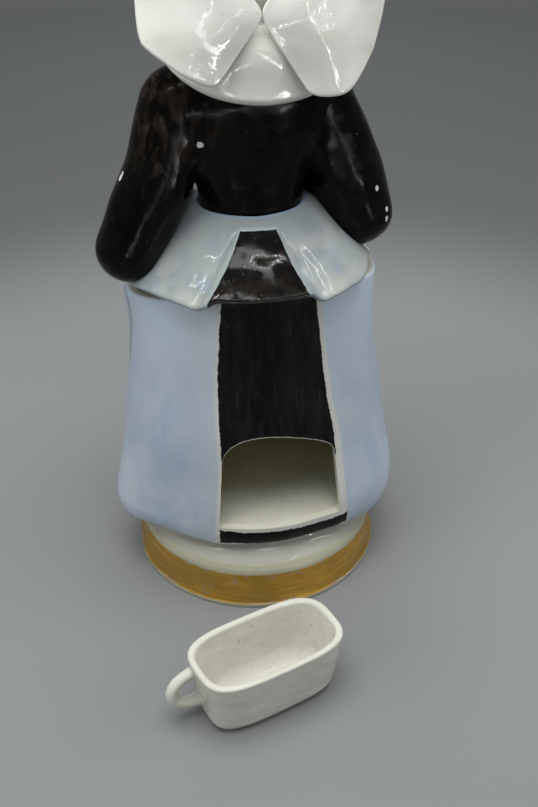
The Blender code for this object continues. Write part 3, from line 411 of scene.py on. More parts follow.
def joined(*meshes):
    form = bmesh.new()
    for mesh in meshes:
        form.from_mesh(mesh)
    result = bpy.data.meshes.new("joined")
    form.to_mesh(result)
    form.free()
    return result


def push(mesh, lift):
    """Moves each point along its normal by lift(place)."""
    moved = [v.co + v.normal * lift(v.co) for v in mesh.vertices]
    mesh.vertices.foreach_set("co", [number for point in moved for number in point])
    mesh.update()


def uneven(mesh, amount, size, seed):
    """Moves the surface in and out a little, as modelling by hand and firing leave it."""
    shift = Vector((seed, seed * 1.7, -seed))
    push(mesh, lambda place: amount * noise.noise(place / size + shift))
    return mesh


def fillet(mesh, others, width):
    """Swells a surface where it nears another, so that the two run into each other softly."""
    trees = [
        BVHTree.FromPolygons([v.co for v in other.vertices], [tuple(p.vertices) for p in other.polygons])
        for other in others
    ]

    def lift(place):
        gaps = [tree.find_nearest(place, width)[3] for tree in trees]
        return max([width / 4 * (1 - gap / width) ** 2 for gap in gaps if gap is not None], default=0.0)

    push(mesh, lift)


def evaluated(mesh, *settings):
    """The mesh after modifiers, each given as (kind, {setting: value})."""
    carrier = bpy.data.objects.new("carrier", mesh)
    bpy.context.scene.collection.objects.link(carrier)
    for kind, values in settings:
        modifier = carrier.modifiers.new(kind, kind)
        for key, value in values.items():
            setattr(modifier, key, value)
    graph = bpy.context.evaluated_depsgraph_get()
    result = bpy.data.meshes.new_from_object(carrier.evaluated_get(graph), depsgraph=graph)
    bpy.data.objects.remove(carrier)
    return result


def cut(mesh, cutter):
    """The mesh less the cutter."""
    tool = bpy.data.objects.new("cutter", cutter)
    bpy.context.scene.collection.objects.link(tool)
    result = evaluated(mesh, ("BOOLEAN", {
        "operation": "DIFFERENCE", "solver": "EXACT", "object": tool, "material_mode": "INDEX",
    }))
    bpy.data.objects.remove(tool)
    return result


def place(name, nodes, body, slot, mesh, *paints, location=(0, 0, 0), turn=0.0, crease=50):
    """Puts a mesh of the figure's frame into the scene as the piece that stands for CAD nodes."""
    mesh.name = name
    mesh.transform(Matrix.Rotation(turn, 4, "Z"))
    strips = np.empty(len(mesh.polygons), dtype=np.int32)
    mesh.polygons.foreach_get("material_index", strips)
    mesh.materials.clear()
    for paint in paints:
        mesh.materials.append(paint)
    mesh.polygons.foreach_set("material_index", np.minimum(strips, len(paints) - 1))
    mesh.shade_smooth()
    mesh.set_sharp_from_angle(angle=math.radians(crease))
    piece = bpy.data.objects.new(name, mesh)
    bpy.context.scene.collection.objects.link(piece)
    piece.location = PLACE + Vector(location)
    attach(piece, body)
    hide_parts(*nodes)


# Warmer

ROUND = 200
FOOT_TOP = 0.0232
FOOT_NECK = 0.0555
PETTICOAT_LAP = 0.0052
FLUTE = 0.0010
FLUTE_RADIUS = 0.0600
HEM_Z = 0.0325
HEM_DIP = 0.0017
TOP_Z = 0.1510
SKIRT_HALF = (0.0690, 0.0526)
SKIRT_Y = -0.0009
SKIRT_WALL = 0.0040
SKIRT_SEAT = SKIRT_WALL + CLEARANCE
SKIRT_EDGE = 0.0010
HEM_EDGE = 0.0012
BACK_RISE = 0.0090
SILL_Z = 0.0425
FLOOR_Z = 0.0380
LEDGE_Z = 0.1460
LEDGE_WIDTH = 0.0065
OPENING_X = -0.0015
OPENING_HALF = 0.0266
SILL_HALF = 0.0290
CUTTER_Y = (0.026, 0.060)
PANEL_FOOT = 0.0740
ARCH_Z = (0.0755, 0.0752)
ARCH_RISE = 0.0152
# Turns from the front to the apron's edges at its top, and how much less it reaches at its hem
APRON_REACH = 0.2330
APRON_OPEN = 0.036
APRON_THICK = (0.0011, 0.0017)
APRON_ROUND = 0.0533
APRON_FOLD = 0.00022
PLINTH_EDGE = 0.0009
# Radius and height of the plinth's outside, from its foot to its top, and of its hollow
PLINTH_ROWS = [
    (0.0552, 0.0000), (0.0600, 0.0000), (0.0600, 0.0021), (0.0592, 0.0026), (0.0577, 0.0193),
    (0.0572, 0.0212), (0.0560, 0.0228), (0.0555, 0.0235), (0.0507, 0.0235),
]
PLINTH_HOLLOW = [(0.0508, 0.0235), (0.0507, 0.0230), (0.0540, 0.0060), (0.0550, 0.0004)]
# Height share, width share, depth share of the skirt
SKIRT_ROWS = (
    (0.00, 0.972, 0.972), (0.04, 0.994, 0.994), (0.10, 1.000, 1.000), (0.28, 0.964, 0.958),
    (0.47, 0.918, 0.905), (0.67, 0.862, 0.856), (0.82, 0.830, 0.838), (1.00, 0.822, 0.835),
)
# Degrees from the back and how far out the hem stands, as a share of an oval
HEM_TURNS = (
    (-180, 1.000), (-110, 1.000), (-84, 1.000), (-70, 1.030), (-60, 1.050), (-50, 1.054), (-40, 1.032),
    (-25, 1.004), (0, 1.000), (18, 0.982), (32, 0.957), (44, 0.936), (56, 0.931), (66, 0.952), (75, 1.006),
    (83, 1.030), (92, 1.020), (112, 1.002), (180, 1.000),
)
# Height and how far out each side stands, as a share
LEFT_SIDE_ROWS = (
    (0.0300, 1.000), (0.0380, 0.990), (0.0460, 0.966), (0.0600, 0.955), (0.0850, 0.962), (0.1100, 0.960),
    (0.1350, 0.966), (0.1520, 0.998),
)
RIGHT_SIDE_ROWS = (
    (0.0300, 1.000), (0.0400, 0.996), (0.0550, 0.980), (0.0900, 0.978), (0.1200, 0.976), (0.1400, 0.988),
    (0.1520, 1.000),
)
# Height and x of the edges of the white borders and of the black back panel
BORDER_LEFT = (
    (0.030, 0.0298), (0.0425, 0.0292), (0.0795, 0.0268), (0.109, 0.0266), (0.135, 0.0248), (0.162, 0.0230),
)
BORDER_RIGHT = (
    (0.030, -0.0362), (0.0425, -0.0345), (0.0795, -0.0316), (0.109, -0.0264), (0.135, -0.0235),
    (0.162, -0.0206),
)
BLACK_LEFT = ((0.072, 0.0253), (0.0795, 0.0252), (0.109, 0.0250), (0.135, 0.0237), (0.162, 0.0217))
BLACK_RIGHT = ((0.072, -0.0286), (0.0795, -0.0283), (0.109, -0.0238), (0.135, -0.0210), (0.162, -0.0182))
# Places across and heights of the black stripe's edges
STRIPE_TOP = ((-0.034, 0.0404), (-0.0180, 0.0396), (-0.003, 0.0402), (0.012, 0.0404), (0.030, 0.0412))
STRIPE_FOOT = ((-0.034, 0.0338), (-0.003, 0.0322), (0.016, 0.0324), (0.030, 0.0322))


def plan_share(degrees, z):
    """How much further out the skirt stands than an oval would at a turn from its back and at a height."""
    hem, = spline(HEM_TURNS, degrees)
    low = 0.22 + 0.78 * (1 - step(z, 0.0400, 0.0850))
    height = min(max(z, LEFT_SIDE_ROWS[0][0]), LEFT_SIDE_ROWS[-1][0])
    left, = spline(LEFT_SIDE_ROWS, height)
    right, = spline(RIGHT_SIDE_ROWS, height)
    sides = (left - 1.002) * bell(degrees, 96, 40) + (right - 1) * bell(degrees, -84, 40)
    return (1 + (hem - 1) * low) * (1 + sides)


def to_plan(ring, z, share=1.0):
    """Gives a ring a share of the skirt's plan at a height."""
    middle = Vector((0, SKIRT_Y))
    for point in ring:
        degrees = math.degrees(math.atan2(point.x, point.y - SKIRT_Y))
        point.xy = middle + (point.xy - middle) * (1 + (plan_share(degrees, z) - 1) * share)
    return ring


def skirt_half(z):
    rows = spline(SKIRT_ROWS, min(max((z - HEM_Z) / (TOP_Z - HEM_Z), 0), 1))
    return [half * row for half, row in zip(SKIRT_HALF, rows)]


def skirt_ring(z, inset, back_rise=0.0, dip=0.0):
    half_x, half_y = skirt_half(z)
    ring = to_plan(oval(half_x - inset, half_y - inset, z, ROUND, (0, SKIRT_Y)), z)
    for angle, point in zip(turns_of(ROUND), ring):
        back = max(math.cos(angle), 0)
        point.z += back_rise * back**1.5 - dip * bell(point.x, 0.028, 0.013) * min(back * 3, 1)
    return ring


def arch_point(share):
    """A point of the opening's arch, from its left springing to its right one, before its shift."""
    rise = ARCH_RISE * math.sin(math.pi * share) ** 0.9 * (1 + 0.28 * math.cos(math.pi * share))
    return OPENING_HALF * math.cos(math.pi * share), blend(*ARCH_Z, share) + rise


def drifting(paint, size, first, second):
    """Two blues that drift into each other, in patches that run down the skirt."""
    return paint.clouds(size, first, second, 0.36, stretch=(1, 1, 2.2), detail=4.0)


def strokes(paint):
    """Fine strokes of the brush down the skirt."""
    return paint.patches(0.0028, 0.35, 0.70, (1, 1, 9), shift=2.0)


def skirt_paint():
    """Matt pale blue with the black back panel, its white borders and the black stripe below the sill."""
    paint = Paint("skirt_colours")
    wobble = paint.ragged(0.006, 0.0012, detail=2.0)
    fuzz = paint.ragged(0.0011, 0.0008, detail=2.0)
    x = paint.x + wobble + fuzz
    z = paint.z + wobble + fuzz + paint.ragged(0.0020, 0.0022, shift=17.0)
    back = paint.ramp(paint.y, 0.010, 0.014)
    blue = paint.layers(
        drifting(paint, 0.020, (0.366, 0.441, 0.545), (0.447, 0.505, 0.586)),
        (paint.patches(0.034, 0.47, 0.66, (1, 1, 1.6), 2.0, 6.0) * 0.55, (0.475, 0.525, 0.575)),
        (strokes(paint) * 0.16, (0.52, 0.56, 0.60)),
        # Lighter and bluer towards the top: painted light that lifts the shadow under the peplum.
        (paint.ramp(paint.z, 0.108, 0.150) * 0.90, (0.555, 0.645, 0.745)),
        (paint.ramp(paint.x, 0.045, 0.026) * paint.ramp(paint.x, 0.010, 0.022) * 0.35, (0.54, 0.57, 0.585)),
        (specks(paint, 0.0010, 0.77) * 0.35, (0.20, 0.23, 0.27)),
    )
    brush = paint.patches(0.0022, 0.40, 0.74, (1, 1, 8), 4.0, 8.0)
    dark = paint.layers(
        paint.mix(brush, (0.0004, 0.0005, 0.0005), (0.0080, 0.0086, 0.0088)),
        (paint.patches(0.012, 0.50, 0.68, (1, 1, 1.8), shift=1.0) * 0.5, (0.0046, 0.0052, 0.0055)),
        (specks(paint, 0.0009, 0.785) * 0.4, (0.16, 0.16, 0.155)),
    )
    border_left = paint.ramp(paint.curve(paint.z, BORDER_LEFT) - x, -0.0007, 0.0009)
    border_right = paint.ramp(x - paint.curve(paint.z, BORDER_RIGHT), -0.0005, 0.0006)
    above = paint.ramp(paint.z, PANEL_FOOT - 0.0005, PANEL_FOOT + 0.0005)
    panel_left = paint.ramp(paint.curve(paint.z, BLACK_LEFT) - x, -0.0002, 0.0002)
    panel_right = paint.ramp(x - paint.curve(paint.z, BLACK_RIGHT), -0.0002, 0.0002)
    stripe_top = paint.ramp(paint.curve(paint.x, STRIPE_TOP) - z, -0.0002, 0.0003)
    stripe_foot = paint.ramp(z - paint.curve(paint.x, STRIPE_FOOT), -0.0002, 0.0002)
    stripe_ends = paint.ramp(x, 0.0278, 0.0273) * paint.ramp(x, -0.0349, -0.0344)
    black = back * paint.most(panel_left * panel_right * above, stripe_top * stripe_foot * stripe_ends)
    line = [arch_point(share) for share in shares(15)[::-1]]
    arch = paint.curve(paint.x, [(across + OPENING_X, up) for across, up in line])
    beside = paint.ramp(abs(paint.x - OPENING_X), OPENING_HALF + 0.0002, OPENING_HALF - 0.0002)
    bare_edge = back * above * beside * paint.ramp(paint.z + fuzz - arch, 0.00055, 0.00030) * 0.75
    colour = paint.layers(
        blue,
        (back * border_left * border_right, (0.600, 0.595, 0.550)),
        (black, dark),
        (bare_edge, (0.46, 0.45, 0.40)),
    )
    matt = paint.between(0.0016, 0.46, 0.60, shift=5.0)
    glossy = paint.patches(0.008, 0.35, 0.65, (1, 1, 3)) * 0.16 + 0.24
    rough = paint.add("Mix", {0: black, 2: matt, 3: glossy}, data_type="FLOAT")
    height = black * 0.10 + glaze_relief(paint, 0.011, 0.0012)
    return paint.finish(colour, rough, height, 0.0005, Specular_IOR_Level=black * -0.34 + 0.5)


def apron_paint():
    """The same blue, paler, with white along the hem and the top rim."""
    paint = Paint("apron_colours")
    hem = paint.ramp(paint.z + paint.noise(0.005) * 0.0012, 0.0375, 0.0366)
    colour = paint.layers(
        drifting(paint, 0.018, (0.430, 0.490, 0.560), (0.500, 0.545, 0.590)),
        (strokes(paint) * 0.22, (0.56, 0.59, 0.61)),
        (paint.most(hem, paint.ramp(paint.z, 0.1482, 0.1492)), (0.60, 0.60, 0.565)),
        (specks(paint, 0.0010, 0.77) * 0.35, (0.22, 0.24, 0.27)),
    )
    rough = paint.between(0.0016, 0.40, 0.55, shift=5.0)
    return paint.finish(colour, rough, glaze_relief(paint, 0.011, 0.0012), 0.0005)


def plinth_paint():
    """Worn matt gilding between white edges."""
    paint = Paint("plinth_colours")
    z = paint.z + paint.ragged(0.004, 0.0010, stretch=(1, 1, 0.6))
    band = paint.ramp(z, 0.0019, 0.0023) * paint.ramp(z, 0.0192, 0.0187)
    grain = paint.noise(0.0010, (14, 14, 1))
    edge = paint.ramp(abs(paint.z - 0.0106), 0.0045, 0.0092) * 0.10
    rubbed = paint.ramp(paint.noise(0.0042, (1.7, 1.7, 0.9), 5.0, 11.0) + edge, 0.635, 0.70)
    worn = paint.ramp(paint.noise(0.0024, (2.0, 2.0, 0.7), 4.0, 5.0) + edge, 0.745, 0.775)
    gold = paint.layers(
        paint.mix(paint.ramp(grain, 0.35, 0.68), (0.450, 0.245, 0.030), (0.590, 0.345, 0.055)),
        (paint.patches(0.016, 0.42, 0.66, (1.6, 1.6, 1), shift=3.0) * 0.5, (0.320, 0.200, 0.050)),
        (rubbed * 0.75, (0.42, 0.30, 0.235)),
    )
    gilt = band * (1.0 - worn)
    # The white edges are the white glaze at a darker level: painted shade low under the skirt.
    colour = paint.mix(gilt, white_colour(paint, 0.58, 0.80), gold)
    height = grain * 0.10 + glaze_relief(paint, 0.012, 0.0014)
    rough = paint.between(0.003, 0.30, 0.46, (3, 3, 1))
    return paint.finish(colour, rough, height, 0.0004, Metallic=gilt * 0.55)


def burner_floor_paint():
    """The inner white glaze at a darker level, turning a warm olive deep in the chamber: painted shade of the
    dim chamber.
    """
    paint = Paint("burner_floor_colours")
    # A warm olive tint deep in the chamber, and the darker inner white: painted shade.
    olive_shade = paint.clouds(0.012, (0.640, 0.585, 0.340), (0.710, 0.650, 0.385))
    colour = paint.mix(paint.ramp(paint.y, 0.030, 0.006) * 0.9, white_colour(paint, 0.84, 0.90), olive_shade)
    return paint.finish(colour, paint.between(0.012, 0.16, 0.28, shift=2.0), glaze_relief(paint), 0.0006)


def make_plinth():
    profile = rounded(PLINTH_ROWS, PLINTH_EDGE)
    return shell(turned(profile[:-1] + PLINTH_HOLLOW, ROUND), endless=True)


def make_petticoat():
    """The fluted wall that runs out from the foot to the hem and up inside the skirt."""
    outer, inner = [], []
    for share in shares(22):
        out = 1 - (1 - share) ** 2.6
        half_x, half_y = [blend(FOOT_NECK, half - SKIRT_SEAT, out) for half in skirt_half(HEM_Z)]
        for rings, wall in ((outer, 0), (inner, WALL)):
            z = blend(FOOT_TOP, HEM_Z, share)
            ring = oval(half_x - wall, half_y - wall, z, ROUND, (0, SKIRT_Y * out))
            rings.append(to_plan(ring, HEM_Z, out))
        for angle, point in zip(turns_of(ROUND), outer[-1]):
            flute = math.sin(11 * angle + 1.2) * 0.6 + math.sin(17 * angle) * 0.4
            inward = FLUTE * (flute - 1) * math.sin(math.pi * min(share * 1.15, 1)) ** 2
            point.xy *= 1 + inward / FLUTE_RADIUS
    outer.append(skirt_ring(HEM_Z + PETTICOAT_LAP, SKIRT_SEAT))
    inner.append(skirt_ring(HEM_Z + PETTICOAT_LAP, SKIRT_SEAT + WALL))
    return shell(outer + inner[::-1], endless=True)


def make_burner_floor():
    profile = ((0, 0), (0.0030, 0), (0.0037, 0.0003), (0.0040, 0.0010))
    return shell([skirt_ring(FLOOR_Z + up, SKIRT_SEAT + inset) for up, inset in profile])


def make_skirt():
    """The skirt's wall with rounded edges, less the arched opening."""
    rows = 52
    outer, inner = [], []
    for angle in (0, 30, 60):
        turn = math.radians(angle)
        inset = HEM_EDGE * (1 - math.sin(turn))
        outer.append(skirt_ring(HEM_Z + HEM_EDGE * (1 - math.cos(math.pi / 2 - turn)), inset, dip=HEM_DIP))
    for k in range(rows):
        share = (k / (rows - 1)) ** 1.15
        z = blend(HEM_Z + HEM_EDGE, TOP_Z - SKIRT_EDGE, share)
        rise = BACK_RISE * share**2
        outer.append(skirt_ring(z, 0, rise, dip=HEM_DIP * (1 - share) ** 14))
        inner.append(skirt_ring(z, SKIRT_WALL, rise))
    for angle in (25, 50, 75):
        turn = math.radians(angle)
        inset = SKIRT_EDGE * (1 - math.cos(turn))
        z = TOP_Z - SKIRT_EDGE * (1 - math.sin(turn))
        outer.append(skirt_ring(z, inset, BACK_RISE))
        inner.append(skirt_ring(z, SKIRT_WALL - inset, BACK_RISE))
    strips = [0] * (len(outer) - 1) + [1] * (len(inner) + 1)
    mesh = uneven(shell(outer + inner[::-1], endless=True, strips=strips), 0.0005, 0.030, 2.0)
    left = [
        (SILL_HALF - 0.0010, SILL_Z), (SILL_HALF - 0.0002, SILL_Z + 0.0008), (SILL_HALF, SILL_Z + 0.0020),
        (OPENING_HALF, ARCH_Z[0]),
    ]
    right = [(-x, z) for x, z in left[:-1]] + [(-OPENING_HALF, ARCH_Z[1])]
    outline = left + [arch_point(share) for share in shares(41)[1:-1]] + right[::-1]
    rings = [[Vector((x + OPENING_X, y, z)) for x, z in outline] for y in CUTTER_Y]
    return cut(mesh, shell(rings, strips=[1]))


def make_apron():
    """A thin layer over the front and sides, whose edges stand further apart towards the hem."""
    rings = []
    for share in shares(44):
        z = blend(HEM_Z, TOP_Z, share)
        thick = blend(*APRON_THICK, share) + 0.0008 * share**6
        if share in (0, 1):
            thick *= 0.55
        reach = APRON_REACH - APRON_OPEN * (1 - step(z, 0.0900, 0.1440))
        outside, inside = [], []
        for across in [blend(-1, 1, place) for place in shares(140)]:
            near = (1 - abs(across)) / APRON_ROUND
            side = 0.45 + 0.55 * math.sqrt(1 - (1 - min(near, 1)) ** 2)
            angle = 2 * math.pi * (0.5 + across * reach)
            plan = plan_share(math.degrees(math.remainder(angle, 2 * math.pi)), z)
            half_x, half_y = [half * plan for half in skirt_half(z)]
            fold = APRON_FOLD * math.sin(angle * 26) * share * (1 - share)
            for points, off in ((inside, CLEARANCE), (outside, CLEARANCE + thick * side + fold)):
                x, y = (half_x + off) * math.sin(angle), SKIRT_Y + (half_y + off) * math.cos(angle)
                points.append(Vector((x, y, z)))
        rings.append(outside + inside[::-1])
    return shell(rings)


def make_ledge():
    foot, low = 0.1420, 0.1440
    profile = rounded([
        (foot, 0), (LEDGE_Z - 0.0001, 0), (LEDGE_Z, 0.0001), (LEDGE_Z, LEDGE_WIDTH), (low, LEDGE_WIDTH),
        (foot, 0.0005),
    ], 0.0006, 3)
    return shell([skirt_ring(z, SKIRT_SEAT + inset) for z, inset in profile], endless=True)


def make_warmer():
    white, blue = "white_glaze", "matte_blue_glaze"
    place("gilded_plinth", ["plinth"], "warmer", "plinth_gilding", make_plinth(), plinth_paint())
    place("petticoat_wall", ["petticoat"], "warmer", white, make_petticoat(), FOOT_WHITE_SHADED)
    place("burner_floor", ["chamber_floor"], "warmer", white, make_burner_floor(), burner_floor_paint())
    place("skirt_wall", ["skirt"], "warmer", blue, make_skirt(), skirt_paint(), INNER_WALL, crease=40)
    place("apron_layer", ["apron"], "warmer", blue, make_apron(), apron_paint())
    place("teapot_ledge", ["seat_ledge"], "warmer", white, make_ledge(), INNER_SHADED)


# Teapot

SIDES = 144
WAIST_Z = LEDGE_Z + 0.0400
NECK_Z = WAIST_Z + 0.0700
BODICE_HALF = (0.0375, 0.0235)
RIM = 0.0160
THROAT = 0.0125
SHOULDER_Z = 0.0041
WAIST_TOP = 0.0397
WAIST_HALF = (BODICE_HALF[0] * 0.590 - 0.0004, BODICE_HALF[1] * 0.860 - 0.0004)
# Height share, width share, depth share and forward share of the bodice
BODICE_ROWS = (
    (0.00, 0.590, 0.860, 0.00), (0.12, 0.620, 0.880, 0.00), (0.27, 0.735, 0.930, 0.06),
    (0.42, 0.870, 1.000, 0.11), (0.56, 0.965, 1.000, 0.08), (0.70, 1.000, 0.930, 0.02),
    (0.82, 0.860, 0.820, 0.00), (0.92, 0.560, 0.720, 0.00),
    (1.00, RIM / BODICE_HALF[0], RIM / BODICE_HALF[1], 0.00),
)
SHOULDER_ROWS = ((0.00, 1.00), (0.05, 0.96), (0.25, 0.66), (0.50, 0.32), (0.75, 0.09), (1.00, 0.00))
# Middles and radii of the white chips in the black
CHIPS = (
    ((0.0239, 0.0161, 0.2185), (0.0014, 0.0030, 0.0013)),
    ((0.0552, 0.0071, 0.2047), (0.0020, 0.0012, 0.0024)),
    ((-0.0511, 0.0188, 0.1926), (0.0009, 0.0030, 0.0012)),
    ((-0.0568, 0.0174, 0.1820), (0.0012, 0.0016, 0.0013)),
    ((-0.0568, 0.0184, 0.1777), (0.0012, 0.0014, 0.0018)),
)

PLEAT = 0.0085
PEPLUM_REACH = 0.0480
PEPLUM_FALL = 0.0245
PEPLUM_THICK = 0.0028
PANEL_TOP = 0.27
# Turns of the black panel's edges at its top and at the rim
PANEL_LEFT = (0.0416, 0.0710)
PANEL_RIGHT = (-0.0460, -0.0620)
# Turn from the back, reach share and drop share of the peplum's rim
EDGE_ROWS = (
    (0.000, 1.000, 0.00), (0.045, 1.020, 0.00), (0.066, 1.045, 0.00), (0.078, 1.095, 0.10),
    (0.098, 1.120, 0.07), (0.125, 1.100, 0.02), (0.165, 1.080, 0.00), (0.205, 1.080, 0.05),
    (0.235, 1.090, 0.12), (0.270, 1.040, 0.19), (0.340, 0.940, 0.27), (0.420, 0.880, 0.33),
    (0.500, 0.860, 0.36),
)
FALL_ROWS = ((0.00, 0.00), (0.12, 0.05), (0.35, 0.27), (0.65, 0.62), (1.00, 1.00))

SLEEVE = 0.0150
SLEEVE_ROUND = 0.0070
CUFF = 0.0070
JUG_FOOT = LEDGE_Z + 0.0270
JUG_HEIGHT = 0.0390
JUG_RADIUS = 0.0135
JUG_Y = -0.0435
JUG_WALL = 0.0021
# Height share, radius share and lip share of the jug
JUG_ROWS = (
    (0.00, 0.62, 0.00), (0.06, 0.70, 0.00), (0.34, 1.00, 0.00), (0.60, 0.84, 0.00), (0.78, 0.66, 0.10),
    (0.90, 0.70, 0.55), (1.00, 0.82, 1.00),
)
HAND_HALF = (0.0072, 0.0042)
HAND_SIDES = 72
# Share of the hand's way, width share and thickness share
HAND_ROWS = (
    (0.00, 0.72, 1.10), (0.20, 0.80, 1.05), (0.45, 1.00, 1.00), (0.70, 0.98, 0.85), (0.88, 0.86, 0.74),
    (1.00, 0.55, 0.50),
)
COLLAR_HALF = (0.0390, 0.0258)
COLLAR_WALL = 0.0026
# Drop of the collar's edge under its top at the back, and how much higher it is at the sides and on the left
COLLAR_DROP = 0.0181
COLLAR_SIDES = 0.0080
COLLAR_LEFT = 0.0030
# How far the collar's back rises behind the lid, and how far out it stands there to clear the lid's flange
COLLAR_RISE = 0.0086
COLLAR_ROOM = 0.0026
RESERVOIR_DEPTH = 0.0500
RESERVOIR_ROUND = 0.0120
RESERVOIR_GAP = 0.0016
FLANGE_EDGE = 0.0006
# Share from rim to neck, width share, depth share and height share of the collar
COLLAR_ROWS = (
    (0.00, 1.00, 1.00, 0.00), (0.20, 0.90, 0.97, 0.26), (0.45, 0.66, 0.80, 0.58),
    (0.70, 0.34, 0.45, 0.83), (0.88, 0.10, 0.13, 0.96), (1.00, 0.00, 0.00, 1.00),
)


def black_paint():
    """Brushed brown-black glaze, browner at the left shoulder, with small white chips."""
    paint = Paint("black_colours")
    shoulder = paint.spot((0.036, 0.010, 0.232), (0.017, 0.030, 0.022), 0.6)
    chips = paint.most(*[paint.spot(spot, radii, 0.12, 0.9, 0.0008) for spot, radii in CHIPS])
    brown = paint.patches(0.0040, 0.42, 0.66, (1, 1, 2.8), 4.0, 12.0) * shoulder
    grey = paint.patches(0.0034, 0.55, 0.70, (1.2, 1, 2.2), shift=15.0) * shoulder
    colour = paint.layers(
        black_colour(paint),
        (brown * 0.42, (0.042, 0.027, 0.018)),
        (grey * 0.34, (0.088, 0.073, 0.058)),
        (chips, (0.62, 0.61, 0.57)),
        (specks(paint, 0.0009, 0.78) * 0.8, (0.07, 0.065, 0.06)),
    )
    height = (1.0 - chips) * 0.3 + glaze_relief(paint, 0.012, 0.0017)
    rough = paint.between(0.010, 0.12, 0.24, shift=2.0)
    return paint.finish(colour, rough, height, 0.0006, Specular_IOR_Level=0.12)


def peplum_paint():
    """Glossy turquoise blue with painted shade near the waist and under the left sleeve and a painted
    highlight beside the panel, and the brown-black back panel.
    """
    paint = Paint("peplum_colours")
    turn, way, _ = paint.parts(paint.add("UVMap", uv_map="form"))
    turn += paint.ragged(0.0030, 0.0024, detail=2.0)
    row = way + paint.ragged(0.0040, 0.03, shift=4.0)
    left = paint.curve(way, ((0.0, 0.0330), (PANEL_TOP, PANEL_LEFT[0]), (1.0, PANEL_LEFT[1]))) - turn
    right = turn - paint.curve(way, ((0.0, -0.0420), (PANEL_TOP, PANEL_RIGHT[0]), (1.0, PANEL_RIGHT[1])))
    within = paint.math("MINIMUM", left, right)
    below = row - 0.235
    # A paler band along the panel's sides: painted highlight on the ridges beside it.
    panel_edge_highlight = paint.ramp(within, -0.0075, -0.0005) * paint.ramp(below, -0.05, -0.004)
    # Darker on the left lobe's upper part: painted shade under the left sleeve.
    sleeve_shadow = paint.ramp(turn, 0.085, 0.175) * paint.ramp(way, 0.92, 0.40)
    cream = paint.ramp(row, 0.80, 0.97) * paint.ramp(abs(abs(turn) - 0.100), 0.030, 0.008)
    blue = paint.layers(
        paint.clouds(0.013, (0.240, 0.275, 0.285), (0.335, 0.355, 0.345), 0.36, detail=4.0),
        (paint.patches(0.019, 0.45, 0.64, shift=6.0) * 0.6, (0.330, 0.375, 0.350)),
        (paint.patches(0.008, 0.55, 0.70, shift=3.0) * 0.45, (0.250, 0.330, 0.400)),
        # Darker towards the waist: painted shade cast by the arms.
        (paint.ramp(way, 0.66, 0.10) * 0.70, (0.150, 0.172, 0.178)),
        (sleeve_shadow * 0.45, (0.165, 0.190, 0.195)),
        (cream * 0.60, (0.450, 0.445, 0.390)),
        (paint.ramp(row, 0.955, 1.0) * 0.36, (0.260, 0.310, 0.350)),
        (paint.ramp(row, 0.06, 0.015) * 0.7, (0.200, 0.285, 0.385)),
        (panel_edge_highlight * 0.7, (0.350, 0.400, 0.415)),
    )
    dark = paint.layers(
        black_colour(paint),
        (paint.patches(0.007, 0.40, 0.66, shift=13.0) * 0.6, (0.016, 0.0115, 0.0078)),
        (specks(paint, 0.0010, 0.77) * 0.6, (0.30, 0.27, 0.22)),
    )
    panel = paint.ramp(within, -0.0006, 0.0008) * paint.ramp(below, -0.006, 0.006)
    height = panel * -0.12 + glaze_relief(paint, 0.0085, 0.0014)
    rough = paint.between(0.006, 0.06, 0.16, shift=2.0)
    return paint.finish(paint.mix(panel, blue, dark), rough, height, 0.00026)


def panel_edges(way):
    grow = min(max((way - PANEL_TOP) / (1 - PANEL_TOP), -0.3), 1)
    return blend(*PANEL_RIGHT, grow), blend(*PANEL_LEFT, grow)


def peplum_columns(way):
    """Turns from -0.5 to 0.5 of the back's middle, crowded where the panel's sides step down."""
    right, left = panel_edges(way)
    stops = (-0.5, right - PLEAT, right, left, left + PLEAT, 0.5)
    columns = [stops[0]]
    for low, high, count in zip(stops, stops[1:], (76, 8, 31, 8, 77)):
        columns += [blend(low, high, share) for share in shares(count)[1:]]
    return columns[:-1]


def peplum_point(turn, way, inset):
    reach, drop = spline(EDGE_ROWS, abs(turn))
    reach += 0.150 * bell(turn, 0.205, 0.075) + 0.055 * bell(turn, -0.150, 0.038)
    drop += 0.075 * bell(turn, 0.170, 0.080) + 0.050 * bell(turn, -0.150, 0.040)
    fall, = spline(FALL_ROWS, way)
    angle = 2 * math.pi * (turn + 0.020)
    waist = math.hypot(WAIST_HALF[0] * math.sin(angle), WAIST_HALF[1] * math.cos(angle)) + 0.0020
    radius = blend(waist, PEPLUM_REACH * reach, way)
    right, left = panel_edges(way)
    outside = max(right - turn, turn - left, 0)
    panel = (1 - step(outside, 0.0, PLEAT * 0.8)) * step(way, 0.18, 0.34)
    radius += 0.0016 * panel * way**0.5
    if outside > 0:
        pleat = 0.0007 * bell(outside, 0.018, 0.008) - 0.0009 * bell(outside, PLEAT * 0.85, 0.0045)
        radius += pleat * step(way, 0.10, 0.55)
    under = PEPLUM_THICK * math.sqrt(0.5) * inset
    z = WAIST_Z + 0.0015 - PEPLUM_FALL * fall * (1 + drop * way) - under
    return Vector(((radius - under) * math.sin(angle), (radius - under) * math.cos(angle), z))


def peplum_ring(way, inset=0):
    return [peplum_point(turn, way, inset) for turn in peplum_columns(way)]


